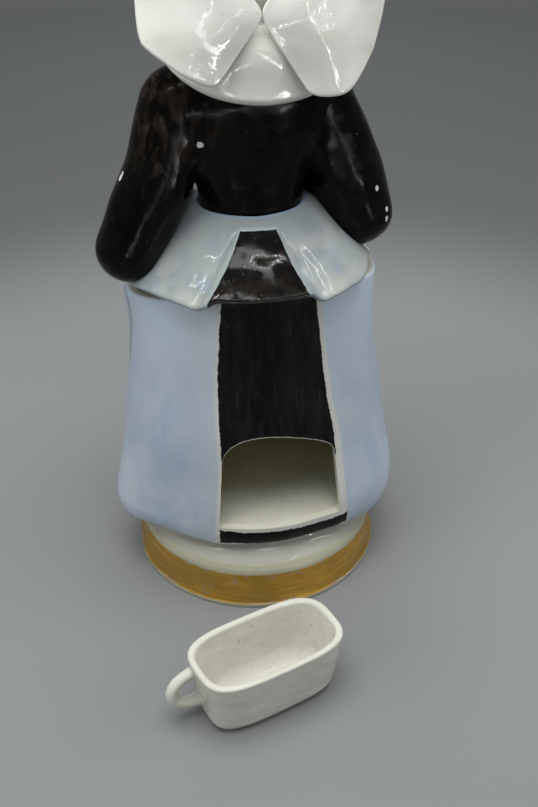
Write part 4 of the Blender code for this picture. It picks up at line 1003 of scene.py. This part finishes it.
def make_peplum():
    """The flounce: its upper side, its round rim and its underside."""
    upper, under = shares(40), shares(14)[::-1]

    def away(point):
        return (Vector((point.x, point.y, 0)).normalized() * 0.6 - Vector((0, 0, 0.8))) * 0.0008

    rim = rolled(peplum_ring(1), peplum_ring(1, 1), (30, 60, 90, 120, 150), away)
    rings = [peplum_ring(way) for way in upper] + rim + [peplum_ring(way, 1) for way in under]
    turns = [peplum_columns(way) for way in upper + [1] * len(rim) + under]
    rows = upper + [1] * (len(rim) + len(under))
    return uneven(shell(rings, endless=True, turns=turns, rows=rows), 0.0004, 0.012, 5.0)


def bodice_ring(share, inset=0):
    width, depth, forward = spline(BODICE_ROWS, share)
    half_x, half_y = BODICE_HALF
    z = blend(WAIST_Z, NECK_Z, share)
    return oval(half_x * width - inset, half_y * depth - inset, z, SIDES, (0, -half_y * forward), 2.2)


def make_bodice():
    """The hollow bust, black outside and white in the throat."""
    outside = [bodice_ring(share) for share in shares(64)]
    rim = rolled(bodice_ring(1), bodice_ring(1, WALL), (45, 90, 135), lambda point: Vector())
    inside = [bodice_ring(share, WALL) for share in shares(26)[:-5]]
    inside += [oval(THROAT, THROAT, z, SIDES) for z in (0.2440, 0.2500, 0.2556)]
    rings = outside + rim + inside[::-1]
    dark = 58
    return shell(rings, endless=True, strips=[0] * dark + [1] * (len(rings) - dark))


def arm_paths(side):
    """The upper and the fore arm, each as its middle line and its radii."""
    left = side == "left"
    full = 0.95 if left else 1.0
    armhole = Vector((BODICE_HALF[0], 0, WAIST_Z))
    top = armhole + Vector((-0.0065, 0, 0.0450) if left else (-0.0075, 0, 0.0430))
    bend = armhole + Vector((0.0172, 0.0080, -0.0134) if left else (0.0098, 0.0050, -0.0084))
    end = Vector((JUG_RADIUS + 0.0155, JUG_Y + 0.0075, JUG_FOOT + 0.0110))
    upper = (top + bend) / 2 + Vector((-0.0030, 0.0010, 0.0020) if left else (-0.0010, 0.0010, 0.0030))
    fore = (bend + end) / 2 + Vector((-0.0040, 0.0005, 0.0045))
    paths = []
    for stations, radii in (
        ((top, upper, bend), (0.93, 0.98, 1.03 * full, 1.07 * full, 1.03 * full)),
        ((bend, fore, end), (1.02 * full, 1.03 * full, 0.88, 0.62)),
    ):
        rows, sizes = evenly(stations), evenly([(radius,) for radius in radii])
        path = [Vector(spline(rows, share)) * mirror_of(side) for share in shares(26)]
        paths.append((path, [SLEEVE * spline(sizes, share)[0] for share in shares(26)]))
    return paths


def make_sleeve(side):
    upper, fore = arm_paths(side)
    mesh = evaluated(
        joined(shell(limb(*upper, 40)), shell(limb(*fore, 40, False))),
        ("REMESH", {"mode": "VOXEL", "voxel_size": 0.0008, "adaptivity": 0.0}),
        ("SMOOTH", {"factor": 0.5, "iterations": 14}),
    )
    face_outwards(mesh)
    return uneven(mesh, 0.0007, 0.016, 1.0 if side == "left" else 3.0)


def make_cuff(side):
    """The cuff, and the place in it that the hand leaves from."""
    path, _ = arm_paths(side)[1]
    end = path[-1]
    along = (end - path[-2]).normalized()
    axis = along.orthogonal().normalized()
    other = along.cross(axis)
    sections = rounded([
        (0.0070, 0.0), (0.0087, 0.0), (0.0096, 0.5), (0.0105, 1.0), (0.0082, 1.0), (0.0078, 0.55),
    ], 0.0006)
    rings = []
    for radius, share in sections:
        rings.append(ellipse(end + along * (CUFF * share), axis * radius, other * radius, 64))
    return shell(rings), end + along * 0.0050


def make_hand(side, start):
    """A hand that leaves its cuff and curls round the jug, its fingers side by side, thumb on top."""
    sign = mirror_of(side).x
    reach = JUG_RADIUS + 0.0035
    grip_z = JUG_FOOT + JUG_HEIGHT * 0.40
    stations = [start]
    for angle in (20, 50, 84):
        turn = math.radians(angle)
        stations.append(Vector((sign * reach * math.cos(turn), JUG_Y - reach * math.sin(turn), grip_z)))
    places = shares(44)
    path = [Vector(spline(evenly(stations), share)) for share in places]
    sizes = [[half * size for half, size in zip(HAND_HALF, spline(HAND_ROWS, share))] for share in places]
    rings = swept(path, sizes, HAND_SIDES, Vector((0, 0, 1)))
    for share, middle, ring in zip(places, path, rings):
        knuckle = 0.10 * bell(share, 0.47, 0.05) + 0.06 * bell(share, 0.72, 0.04)
        for k, angle in enumerate(turns_of(HAND_SIDES)):
            w = math.cos(angle)
            gap = max(bell(w, finger, 0.075) for finger in (-0.52, 0.0, 0.52))
            scale = 1 + (knuckle - 0.22 * gap) * step(share, 0.38, 0.52) * math.sqrt(max(1 - w * w, 0))
            ring[k] = middle + (ring[k] - middle) * scale
    thumb_start = path[10] + Vector((0, 0, 0.0040))
    thumb_end = Vector((sign * (JUG_RADIUS * 0.80), JUG_Y - JUG_RADIUS * 0.55, grip_z + 0.0098))
    middle = (thumb_start + thumb_end) / 2 + Vector((sign * 0.0022, 0, 0.0022))
    rows = evenly((thumb_start, middle, thumb_end))
    line = [Vector(spline(rows, share)) for share in shares(16)]
    thumb = limb(line, [blend(0.0026, 0.0020, share) for share in shares(16)], 28)
    return joined(shell(rings), shell(thumb))


def jug_ring(share, inset=0):
    share_out, lip = spline(JUG_ROWS, share)
    radius = JUG_RADIUS * share_out - inset
    ring = oval(radius, radius, JUG_FOOT + JUG_HEIGHT * share, 112, (0, JUG_Y))
    for angle, point in zip(turns_of(112), ring):
        forward = max(-math.cos(angle), 0) ** 4
        point.y -= 0.0057 * lip * forward
        point.z += 0.0030 * lip * forward
    return ring


def make_jug():
    """The jug with a rolled rim."""
    outside = [jug_ring(0, 0.0012)] + [jug_ring(share) for share in shares(44)]
    rim = rolled(jug_ring(1), jug_ring(1, JUG_WALL), (40, 90, 140), lambda point: Vector((0, 0, 0.0006)))
    inside = [jug_ring(blend(0.108, 1, share), JUG_WALL) for share in shares(30)[::-1]]
    return shell(outside + rim + inside)


def make_spout_pipe():
    """The short pipe from the bodice to the jug."""
    sections = ((-0.0225, 0.0060), (-0.0262, 0.0049), (-0.0310, 0.0048), (-0.0342, 0.0056))
    line = [Vector((0, y, WAIST_Z + 0.0080)) for y, _ in sections]
    return shell(swept(line, [(radius, radius) for _, radius in sections], 40))


def collar_ring(share, inset=0):
    """A ring of the collar, whose back rises behind the lid and stands clear of its flange."""
    way_x, way_y, height = spline(COLLAR_ROWS, share)
    neck = RIM + 0.0003
    top = NECK_Z - 0.0001
    half_x, half_y = [blend(neck, half, way) - inset for half, way in zip(COLLAR_HALF, (way_x, way_y))]
    ring = oval(half_x, half_y, 0, 168, power=2.1)
    risen = step(height, 0.10, 1.0)
    for angle, point in zip(turns_of(168), ring):
        side, back = math.sin(angle), max(math.cos(angle), 0)
        edge = top - COLLAR_DROP + COLLAR_SIDES * side**2 + COLLAR_LEFT * side
        point.z = blend(edge, top, height) - inset * (1 - share) + COLLAR_RISE * back**3 * risen
        point.x *= 1 - 0.11 * max(side, 0) * way_x
        point.xy *= 1 + risen * step(back, 0.0, 0.30) * (COLLAR_ROOM + 0.82 * inset) / neck
    return ring


def make_collar():
    outside = [collar_ring(share) for share in shares(34)]
    inside = [collar_ring(share, COLLAR_WALL) for share in shares(16)[::-1]]
    angles = (150, 120, 90, 60, 30)
    lip = rolled(outside[0], inside[-1], angles, lambda point: Vector((0, 0, -0.0009)))
    return uneven(shell(lip + outside + inside, endless=True), 0.0003, 0.014, 8.0)


def make_reservoir():
    """The vessel: a round-footed body that hangs below a flange, and a shoulder up to the waist."""
    seat = skirt_half(LEDGE_Z)
    flange = [half - SKIRT_WALL - RESERVOIR_GAP for half in seat]
    edge = [half - FLANGE_EDGE for half in flange]
    body = [half - SKIRT_SEAT - LEDGE_WIDTH - RESERVOIR_GAP for half in seat]
    foot = []
    for share in shares(15):
        turn = math.pi / 2 * share
        out = blend(0.66, 1, math.sin(turn))
        foot.append((body[0] * out, body[1] * out, RESERVOIR_ROUND * (1 - math.cos(turn)) - RESERVOIR_DEPTH))
    rows = [(body[0] * 0.05, body[1] * 0.05, -RESERVOIR_DEPTH)] + foot
    rows += [(*body, z) for z in (-0.030, -0.020, -0.010, CLEARANCE)]
    rows += [(*edge, CLEARANCE), (*flange, 0.0010), (*flange, 0.0034), (*edge, SHOULDER_Z)]
    shoulder = []
    for share in shares(26):
        out, = spline(SHOULDER_ROWS, share)
        half_x, half_y = [blend(waist, half, out) for waist, half in zip(WAIST_HALF, body)]
        shoulder.append((half_x, half_y, blend(SHOULDER_Z, WAIST_TOP, share)))
    inner = [(x - WALL, y - WALL, z + WALL) for x, y, z in foot]
    inner += [(x - WALL, y - WALL, z - WALL) for x, y, z in shoulder]
    inner.append((WAIST_HALF[0] - WALL, WAIST_HALF[1] - WALL, WAIST_TOP))
    rings = [oval(x, y, LEDGE_Z + z, SIDES, (0, SKIRT_Y)) for x, y, z in rows + shoulder + inner[::-1]]
    return shell(rings)


def skin_colour(paint):
    return paint.clouds(0.007, (0.600, 0.425, 0.340), (0.660, 0.490, 0.400))


def hand_paint():
    """Flesh enamel, redder towards the fingertips."""
    paint = Paint("hand_colours")
    tip = paint.ramp(paint.y, -0.052, -0.060) * 0.35
    colour = paint.mix(tip, skin_colour(paint), (0.62, 0.33, 0.27))
    rough = paint.between(0.006, 0.16, 0.26, shift=2.0)
    return paint.finish(colour, rough, glaze_relief(paint, 0.006), 0.0004)


def make_teapot():
    place("vessel", ["reservoir"], "teapot", "white_glaze", make_reservoir(), INNER_SHADED)
    black = black_paint()
    bodice = make_bodice()
    solid = shell([bodice_ring(share) for share in shares(48)])
    sleeves = {side: make_sleeve(side) for side in ("left", "right")}
    fillet(bodice, sleeves.values(), SLEEVE_ROUND)
    for side, mesh in sleeves.items():
        fillet(mesh, [solid], SLEEVE_ROUND)
        place("sleeve_of_the_" + side, ["sleeve_" + side], "teapot", "black_glaze", mesh, black, crease=80)
    place("bust", ["bodice"], "teapot", "black_glaze", bodice, black, WHITE, crease=70)
    skin = hand_paint()
    for side in ("left", "right"):
        cuff, wrist = make_cuff(side)
        hand = make_hand(side, wrist)
        place("cuff_of_the_" + side, ["cuff_" + side], "teapot", "white_glaze", cuff, WHITE)
        place("hand_of_the_" + side, ["hand_" + side], "teapot", "flesh_enamel", hand, skin, crease=80)
    peplum = make_peplum()
    place("pleated_peplum", ["peplum"], "teapot", "bright_blue_glaze", peplum, peplum_paint(), crease=85)
    place("jug_spout", ["jug"], "teapot", "white_glaze", make_jug(), WHITE, crease=60)
    place("spout_pipe", ["spout_neck"], "teapot", "white_glaze", make_spout_pipe(), WHITE)
    place("shoulder_collar", ["collar"], "teapot", "white_glaze", make_collar(), WHITE, crease=70)


# Lid

FLANGE_TOP = NECK_Z + 0.0029
HEAD_HALF = (0.0142, 0.0166, 0.0200)
HEAD = Vector((0, -0.0010, FLANGE_TOP + 0.0026 + HEAD_HALF[2]))
CAP = HEAD + Vector((0, 0.0030, 0.0025))
CAP_MIDDLE = CAP.xy
CAP_HALF = (HEAD_HALF[0] + 0.0040, HEAD_HALF[1] + 0.0024, HEAD_HALF[2] + 0.0025)
CAP_BAND_SHARE = 0.925
CAP_BAND_POINTS = 60
# Height share and width share of the cap
CAP_ROWS = (
    (-0.85, 0.66), (-0.55, 0.86), (-0.20, 0.98), (0.10, 1.00), (0.40, 0.92), (0.65, 0.76), (0.85, 0.53),
    (0.97, 0.25),
)
CROWN_ROWS = ((0.980, 0.20), (0.992, 0.13), (0.999, 0.05))
WING_SPAN = 0.0490
WING_BACK = 0.0280
WING_HEIGHT = 0.0620
WING_FOOT = NECK_Z - 0.0115
WING_HALF = 0.00155
# From each wing's foot up, three places from the middle out, as shares of its span, back and height
WING_TOP_BAND = ((0.34, 0.52, 0.93), (0.50, 0.44, 1.00), (0.72, 0.26, 0.99))
WING_BANDS = {
    "left": (
        ((0.40, 1.04, 0.00), (0.66, 1.09, 0.12), (0.950, 0.98, 0.30)),
        ((0.00, 0.88, 0.385), (0.44, 0.98, 0.42), (0.955, 0.80, 0.50)),
        ((0.26, 0.84, 0.66), (0.50, 0.82, 0.72), (0.93, 0.56, 0.79)),
        WING_TOP_BAND,
    ),
    "right": (
        ((0.37, 1.02, -0.10), (0.68, 1.04, -0.08), (0.93, 0.70, 0.12)),
        ((0.00, 0.88, 0.385), (0.46, 1.00, 0.38), (1.06, 0.50, 0.45)),
        ((0.26, 0.84, 0.66), (0.50, 0.82, 0.70), (1.08, 0.36, 0.77)),
        WING_TOP_BAND,
    ),
}
# Push forward of the face: its amount, then the middle and width of each bell across and up
FACE_FORMS = (
    (0.10, 0, 0.35, -0.74, 0.16), (0.05, 0, 0.10, 0.08, 0.16), (-0.050, 0.34, 0.15, 0.10, 0.09),
    (0.034, 0.34, 0.12, 0.075, 0.050), (0.020, 0.50, 0.20, -0.22, 0.16), (0.040, 0, 0.17, -0.395, 0.030),
    (0.040, 0, 0.17, -0.455, 0.035), (-0.020, 0, 0.24, -0.424, 0.014), (-0.020, 0, 0.20, -0.53, 0.05),
    (0.03, 0, 2.0, 0.22, 0.10),
)


def face_paint():
    """Flesh enamel with hair, brows, eyes, lips and a blush, calm and plain."""
    paint = Paint("face_colours")
    front = paint.ramp(paint.y, -0.006, -0.009)
    side = abs(paint.x)
    z = paint.z - HEAD.z

    def length(a, b):
        return paint.math("SQRT", a * a + b * b)

    def spot(across, up, half_x, half_z, soft):
        return front * paint.ramp(length((side - across) / half_x, (z - up) / half_z), 1 + soft, 1 - soft)

    def arc(centre, up, reach, rise, half_width):
        a = (side - centre) / reach
        away = abs(z - (a * a * -rise + (up + rise)))
        near = paint.ramp(away, half_width * 1.3, half_width * 0.7)
        return front * near * paint.ramp(abs(a), 1.02, 0.92)

    outside = paint.ramp(length(paint.x / 0.0112, (z + 0.0010) / 0.0118), 1.0, 1.03)
    hair = outside * paint.ramp(z, -0.004, -0.001)
    strand = paint.clouds(0.0006, (0.085, 0.046, 0.026), (0.165, 0.095, 0.052), stretch=(1, 1, 7), shift=4.0)
    lips = paint.most(spot(0.0009, -0.0079, 0.0021, 0.0006, 0.2), spot(0.0, -0.0089, 0.0020, 0.0008, 0.2))
    colour = paint.layers(
        skin_colour(paint),
        (spot(0.0068, -0.0040, 0.0034, 0.0030, 0.8) * 0.45, (0.66, 0.30, 0.25)),
        (spot(0.0048, 0.0016, 0.0019, 0.00095, 0.12), (0.70, 0.69, 0.66)),
        (spot(0.0048, 0.0016, 0.00088, 0.00090, 0.12), (0.055, 0.075, 0.095)),
        (spot(0.0048, 0.0016, 0.00040, 0.00040, 0.15), (0.006, 0.006, 0.006)),
        (arc(0.0048, 0.0018, 0.0024, 0.0009, 0.00020) * 0.9, (0.060, 0.032, 0.020)),
        (arc(0.0050, 0.0050, 0.0034, 0.0011, 0.00032) * 0.75, (0.110, 0.060, 0.035)),
        (lips * 0.85, (0.52, 0.130, 0.105)),
        (spot(0.0, -0.0083, 0.0026, 0.00016, 0.4) * 0.8, (0.25, 0.055, 0.045)),
        (hair, strand),
    )
    rough = paint.between(0.006, 0.16, 0.26, shift=2.0)
    return paint.finish(colour, rough, glaze_relief(paint, 0.006), 0.0003)


def head_point(azimuth, up):
    """A point of the head: an egg with brow, sockets, nose, lips, cheeks and chin; azimuth 0 is its back."""
    level = math.sqrt(max(1 - up**2, 0))
    jaw = 1 - 0.20 * max(-up, 0) ** 1.5
    across = math.sin(azimuth)
    front = max(-math.cos(azimuth), 0)
    forward = 0.17 * bell(across, 0, blend(0.11, 0.17, step(-up, -0.15, 0.22))) * bell(up, -0.13, 0.15)
    for amount, middle, width, middle_up, height in FACE_FORMS:
        forward += amount * bell(abs(across), middle, width) * bell(up, middle_up, height)
    x = HEAD_HALF[0] * level * jaw * across
    y = HEAD_HALF[1] * (level * math.cos(azimuth) - front**3 * forward)
    return HEAD + Vector((x, y, HEAD_HALF[2] * up))


def make_head():
    sides, neck = 168, 0.0082
    rings = [oval(neck, neck, FLANGE_TOP + up, sides) for up in (CLEARANCE, 0.0025, 0.0042)]
    for share in shares(110):
        up = math.sin(math.pi / 2 * blend(-0.60, 0.985, share))
        rings.append([head_point(azimuth, up) for azimuth in turns_of(sides)])
    return shell(rings)


def face_y(z):
    return CAP.y - 0.0070 - 0.24 * (z - CAP.z)


def make_cap():
    """The close cap, gathered at the back and cut off along the face."""
    knots = [(FLANGE_TOP + CLEARANCE, 0.80), (FLANGE_TOP + 0.0030, 0.79)]
    knots += [(CAP.z + CAP_HALF[2] * up, wide) for up, wide in CAP_ROWS]
    levels = [blend(knots[0][0], knots[-1][0], share) for share in shares(60)]
    profile = [(z, spline(knots, z)[0]) for z in levels]
    profile += [(CAP.z + CAP_HALF[2] * up, wide) for up, wide in CROWN_ROWS]
    rings = []
    for z, wide in profile:
        ring = oval(CAP_HALF[0] * wide, CAP_HALF[1] * wide, z, SIDES, CAP_MIDDLE)
        fullness = 0.00018 * bell(z, CAP.z + CAP_HALF[2] * 0.45, 0.009) / 0.016
        for angle, point in zip(turns_of(SIDES), ring):
            point.xy = CAP_MIDDLE + (point.xy - CAP_MIDDLE) * (1 + math.sin(22 * angle) * fullness)
        rings.append(ring)
    beyond = 0.006
    wide = CAP_HALF[0] + beyond
    front = CAP.y - CAP_HALF[1] - beyond
    block = [
        [Vector((x, y, z)) for x, y in ((wide, face_y(z)), (-wide, face_y(z)), (-wide, front), (wide, front))]
        for z in (FLANGE_TOP - beyond, CAP.z + CAP_HALF[2] + beyond)
    ]
    return cut(shell(rings), shell(block))


def make_cap_band():
    """The roll round the face, its ends tapered."""
    path, sizes = [], []
    for i, share in enumerate(shares(CAP_BAND_POINTS)):
        turn = math.pi * blend(-0.22, 1.22, share)
        z = CAP.z + CAP_HALF[2] * CAP_BAND_SHARE * math.sin(turn)
        path.append(Vector((CAP_HALF[0] * CAP_BAND_SHARE * math.cos(turn), face_y(z) - 0.00105, z)))
        end = min(i, CAP_BAND_POINTS - 1 - i)
        size = 0.0021 * math.sqrt(min((end + 0.4) / 4, 1)) * (1 + 0.035 * math.sin(i * 1.9))
        sizes.append((size, size))
    return shell(swept(path, sizes, 28))


def wing_point(side, across, up):
    rows = evenly([spline(evenly(band), across) for band in WING_BANDS[side]])
    span, back, height = spline(rows, up)
    if up < 1 / 3:
        flat = blend(np.array(rows[0][1:]), np.array(rows[1][1:]), up * 3)
        keep = 1 - step(across, 0.30, 0.75)
        span, back, height = (1 - keep) * np.array((span, back, height)) + keep * flat
    return Vector((WING_SPAN * span, WING_BACK * back, WING_HEIGHT * height + WING_FOOT))


def make_wing(side):
    """A starched wing: a curved sheet with a full rounded edge and rounded corners."""
    near = [0, 0.0018, 0.0055, 0.0105, 0.0170]
    places = near + [blend(0.026, 0.974, share) for share in shares(30)] + [1 - share for share in near[::-1]]
    rings = []
    for v in places:
        front, back = [], []
        for u in places:
            a, b = 2 * u - 1, 2 * v - 1
            pull = 0.05 * (a * b) ** 8
            s, t = 0.5 + a * (1 - pull) / 2, 0.5 + b * (1 - pull) / 2
            middle = wing_point(side, s, t)
            along_x = wing_point(side, min(s + 0.01, 1), t) - wing_point(side, max(s - 0.01, 0), t)
            along_z = wing_point(side, s, min(t + 0.01, 1)) - wing_point(side, s, max(t - 0.01, 0))
            normal = along_x.cross(along_z).normalized()
            border = min(u, 1 - u, v, 1 - v)
            full = blend(0.60, 1.0, step(border, 0.0, 0.22)) * WING_HALF
            half = full * math.sqrt(max(1 - (1 - min(border / 0.0175, 1)) ** 2, 0))
            for face, offset in ((front, half), (back, -half)):
                spot = middle + normal * offset
                spot.x = max(spot.x, CLEARANCE / 2)
                face.append(spot * mirror_of(side))
        rings.append(front + back[::-1])
    return uneven(shell(rings, merge=0.00002), 0.0004, 0.016, 4.0 if side == "left" else 6.0)


def make_plug():
    """The flange with the ring that closes the mouth."""
    low = NECK_Z + 0.0003
    profile = rounded([
        (0.0020, FLANGE_TOP), (0.0163, FLANGE_TOP), (0.0172, NECK_Z + 0.0002), (0.0119, low),
        (0.0115, NECK_Z - 0.0070), (0.0094, NECK_Z - 0.0070), (0.0094, low), (0.0020, low),
    ], 0.0006)
    return shell(turned(profile, 120))


def make_lid():
    place("plug_and_flange", ["lid_plug"], "lid", "white_glaze", make_plug(), WHITE)
    place("head_with_face", ["head"], "lid", "flesh_enamel", make_head(), face_paint(), crease=80)
    place("close_cap", ["cap"], "lid", "white_glaze", make_cap(), WHITE)
    place("cap_roll", ["cap_band"], "lid", "white_glaze", make_cap_band(), WHITE, crease=80)
    for side in ("left", "right"):
        wing = make_wing(side)
        place("wing_of_the_" + side, ["wing_" + side], "lid", "white_glaze", wing, WHITE, crease=80)


# Burner cup

CUP_PLACE = (0.0211, 0.1107, 0)
CUP_TURN = math.radians(16.2)
CUP_HEIGHT = 0.0322
CUP_HALF = (0.0338, 0.0187)
CUP_TAPER = 0.0043
CUP_WALL = 0.0030
EAR_FOOT_Z = 0.0085
EAR_SUNK = 0.0015


def cup_ring(inset, z):
    narrow = CUP_TAPER * (1 - z / CUP_HEIGHT) + inset
    return oval(CUP_HALF[0] - narrow, CUP_HALF[1] - narrow, z, 176, power=3.5)


def make_cup():
    rows = rounded([
        (0.0150, 0.0000), (0.0022, 0.0000), (0.0000, 0.0035), (0.0000, 0.0160), (0.0000, CUP_HEIGHT),
        (CUP_WALL, CUP_HEIGHT), (CUP_WALL, 0.0160), (0.0032, 0.0080), (0.0064, 0.0034), (0.0160, 0.0034),
    ], 0.0026, 6)
    mesh = uneven(shell([cup_ring(*row) for row in rows]), 0.00018, 0.018, 9.0)
    heights = [v.co.z for v in mesh.vertices]
    low, top = min(heights), max(heights)
    for v in mesh.vertices:
        v.co.z = (v.co.z - low) * CUP_HEIGHT / (top - low)
    return mesh


def make_cup_ear():
    """A loop from low to high on the cup's end, thicker where it joins the wall."""
    top_z = CUP_HEIGHT - 0.0068
    wall = 0.0339 - CUP_TAPER / 2 - EAR_SUNK
    path, sizes = [], []
    for share in shares(48):
        turn = math.pi * blend(0.5, -0.5, share)
        bow = abs(math.cos(turn)) ** 0.8
        z = (top_z + EAR_FOOT_Z) / 2 + (top_z - EAR_FOOT_Z) / 2 * math.sin(turn)
        path.append(Vector((wall + (0.0110 + EAR_SUNK) * bow, -0.0060, z)))
        foot = 1 + 0.30 * (1 - min(bow / 0.55, 1)) ** 2
        sizes.append((0.0027 * foot, 0.0026 * foot))
    return shell(swept(path, sizes, 36))


def cup_paint():
    """White glaze with faint stains and dark pits."""
    paint = Paint("cup_colours")
    colour = paint.layers(
        white_colour(paint, 0.97, 0.95),
        (paint.patches(0.004, 0.60, 0.72, detail=4.0, shift=14.0) * 0.35, (0.50, 0.49, 0.40)),
        (specks(paint, 0.0011, 0.74) * 0.6, (0.25, 0.20, 0.15)),
    )
    rough = paint.between(0.006, 0.05, 0.11, shift=2.0)
    return paint.finish(colour, rough, glaze_relief(paint, 0.0060, 0.0014), 0.0006)


def make_burner_cup():
    paint = cup_paint()
    kind = ("burner_cup", "white_glaze")
    stand = {"location": CUP_PLACE, "turn": CUP_TURN}
    place("spirit_cup", ["burner_cup"], *kind, make_cup(), paint, **stand)
    place("spirit_cup_ear", ["burner_cup_handle"], *kind, make_cup_ear(), paint, crease=80, **stand)


# Surroundings

FAR_COLOUR = (0.126, 0.132, 0.129)
OPEN_FLOOR = (0.403, 0.405, 0.379)
CAMERA_PLACE = Vector((0.09715, 0.43877, 0.38688))
CAMERA_FORWARD = Vector((-0.19115, -0.80175, -0.56626))
CAMERA_LEVEL = Vector((-0.97274, 0.23192, 0))
CAMERA_ROLL = math.radians(0.47)
MIDDLE = (0, 0, 0.12)
HIGH = (0, 0, 0.2)
# Name, place, width, height and power of the soft lamps
SOFT_LAMPS = (
    ("overhead", (0.05, 0.10, 0.92), 0.70, 0.70, 8.4),
    ("left_wall", (0.95, 0.30, 0.55), 0.60, 0.80, 2.6),
    ("right_wall", (-0.95, 0.30, 0.55), 0.60, 0.80, 2.6),
    ("front_wall", (-0.22, -1.00, 0.60), 0.80, 0.60, 2.4),
)
DOT = 0.024
DOT_POWER = 0.045
# First place, last place and number of the small lamps that glints in the glaze come from
DOT_LINES = (
    ((-0.06, 0.95, 0.46), (-0.38, 0.95, 0.04), 12), ((-0.38, 0.90, 0.03), (-0.34, 0.57, 0.03), 5),
    ((-0.35, 0.58, 0.03), (-0.46, 0.70, 0.03), 5), ((0.26, 0.48, 0.03), (0.12, 0.95, 0.05), 6),
    ((0.08, 0.95, 0.06), (-1.00, 0.95, 0.34), 13), ((-0.32, -0.09, 1.00), (-0.06, -0.09, 1.00), 6),
    ((0.30, 0.61, 1.00), (-0.38, 0.58, 1.00), 13), ((0.60, 0.22, 1.00), (0.28, 0.35, 1.00), 9),
    ((-0.80, 0.48, 1.00), (-0.52, 0.32, 1.00), 8), ((-0.34, -0.98, 1.00), (-0.04, -1.02, 1.00), 6),
    ((0.10, 1.06, 1.00), (0.26, 1.12, 1.00), 4),
)


def make_camera():
    forward, level = CAMERA_FORWARD.normalized(), CAMERA_LEVEL.normalized()
    upright = level.cross(forward)
    right = level * math.cos(CAMERA_ROLL) - upright * math.sin(CAMERA_ROLL)
    up = level * math.sin(CAMERA_ROLL) + upright * math.cos(CAMERA_ROLL)
    lens = bpy.data.cameras.new("photo_view")
    lens.lens = 50
    lens.sensor_width = 36
    lens.clip_start = 0.01
    lens.clip_end = 20
    camera = bpy.data.objects.new("photo_view", lens)
    bpy.context.scene.collection.objects.link(camera)
    view = Matrix((right, up, -forward)).transposed().to_4x4()
    view.translation = CAMERA_PLACE + PLACE
    camera.matrix_world = view
    bpy.context.scene.camera = camera


def make_floor():
    """A floor with a painted pool of light round the object that fades to a darker grey, and pale further
    out.
    """
    paint = Paint("floor_colour")
    ground = paint.add("CombineXYZ", {"X": paint.x, "Y": paint.y})
    away = paint.add("VectorMath", {0: ground}, 1, operation="LENGTH")
    # Paler round the object and darker further off: a painted pool of light.
    near = paint.mix(paint.patches(0.25, 0.3, 0.7, detail=2.0), (0.216, 0.226, 0.223), (0.230, 0.239, 0.236))
    painted_falloff, open_floor = paint.ramp(away, 0.24, 0.44), paint.ramp(away, 0.95, 1.60)
    colour = paint.layers(near, (painted_falloff, FAR_COLOUR), (open_floor, OPEN_FLOOR))
    rough = paint.between(0.05, 0.42, 0.52)
    paint.finish(colour, rough, paint.noise(0.0015), 0.00004, Specular_IOR_Level=0.0)
    mesh = shell(turned(((4.0, -0.02), (4.0, 0), (1.5, 0), (0.6, 0), (0.2, 0), (0.02, 0)), 96))
    mesh.materials.append(paint.material)
    floor = bpy.data.objects.new("studio_floor", mesh)
    bpy.context.scene.collection.objects.link(floor)
    floor.location = PLACE


def lamp(name, spot, target, width, height, energy):
    light = bpy.data.lights.new(name, "AREA")
    light.shape = "RECTANGLE"
    light.size = width
    light.size_y = height
    light.energy = energy
    item = bpy.data.objects.new(name, light)
    bpy.context.scene.collection.objects.link(item)
    item.location = spot
    item.rotation_euler = (Vector(target) - Vector(spot)).to_track_quat("-Z", "Y").to_euler()
    return item


def make_air():
    """Soft light from all round, behind which the camera and reflections see a plain grey."""
    world = bpy.data.worlds.new("studio_air")
    bpy.context.scene.world = world
    world.use_nodes = True
    tree = world.node_tree
    air = tree.nodes["Background"]
    seen = tree.nodes.new("ShaderNodeBackground")
    for node, colour, strength in ((air, (0.92, 0.96, 1.0, 1), 0.34), (seen, (*FAR_COLOUR, 1), 1.0)):
        node.inputs["Color"].default_value = colour
        node.inputs["Strength"].default_value = strength
    path = tree.nodes.new("ShaderNodeLightPath")
    either = tree.nodes.new("ShaderNodeMath")
    either.operation = "MAXIMUM"
    mix = tree.nodes.new("ShaderNodeMixShader")
    for source, socket in (
        (path.outputs["Is Camera Ray"], either.inputs[0]),
        (path.outputs["Is Glossy Ray"], either.inputs[1]),
        (either.outputs[0], mix.inputs[0]),
        (air.outputs[0], mix.inputs[1]),
        (seen.outputs[0], mix.inputs[2]),
        (mix.outputs[0], tree.nodes["World Output"].inputs["Surface"]),
    ):
        tree.links.new(source, socket)


def make_lamps():
    for name, spot, width, height, energy in SOFT_LAMPS:
        lamp(name, spot, MIDDLE, width, height, energy).visible_glossy = False
    for start, end, count in DOT_LINES:
        for share in shares(count):
            spot = Vector(start).lerp(Vector(end), share)
            lamp("dot", spot, HIGH, DOT, DOT, DOT_POWER).visible_diffuse = False
    lamp("glow", (0.09, 0.50, 0.99), HIGH, 0.28, 0.12, 0.32).visible_diffuse = False


make_camera()
make_warmer()
make_teapot()
make_lid()
make_burner_cup()
make_floor()
make_air()
make_lamps()

scene = bpy.context.scene
scene.view_settings.view_transform = "Standard"
bpy.context.view_layer.update()
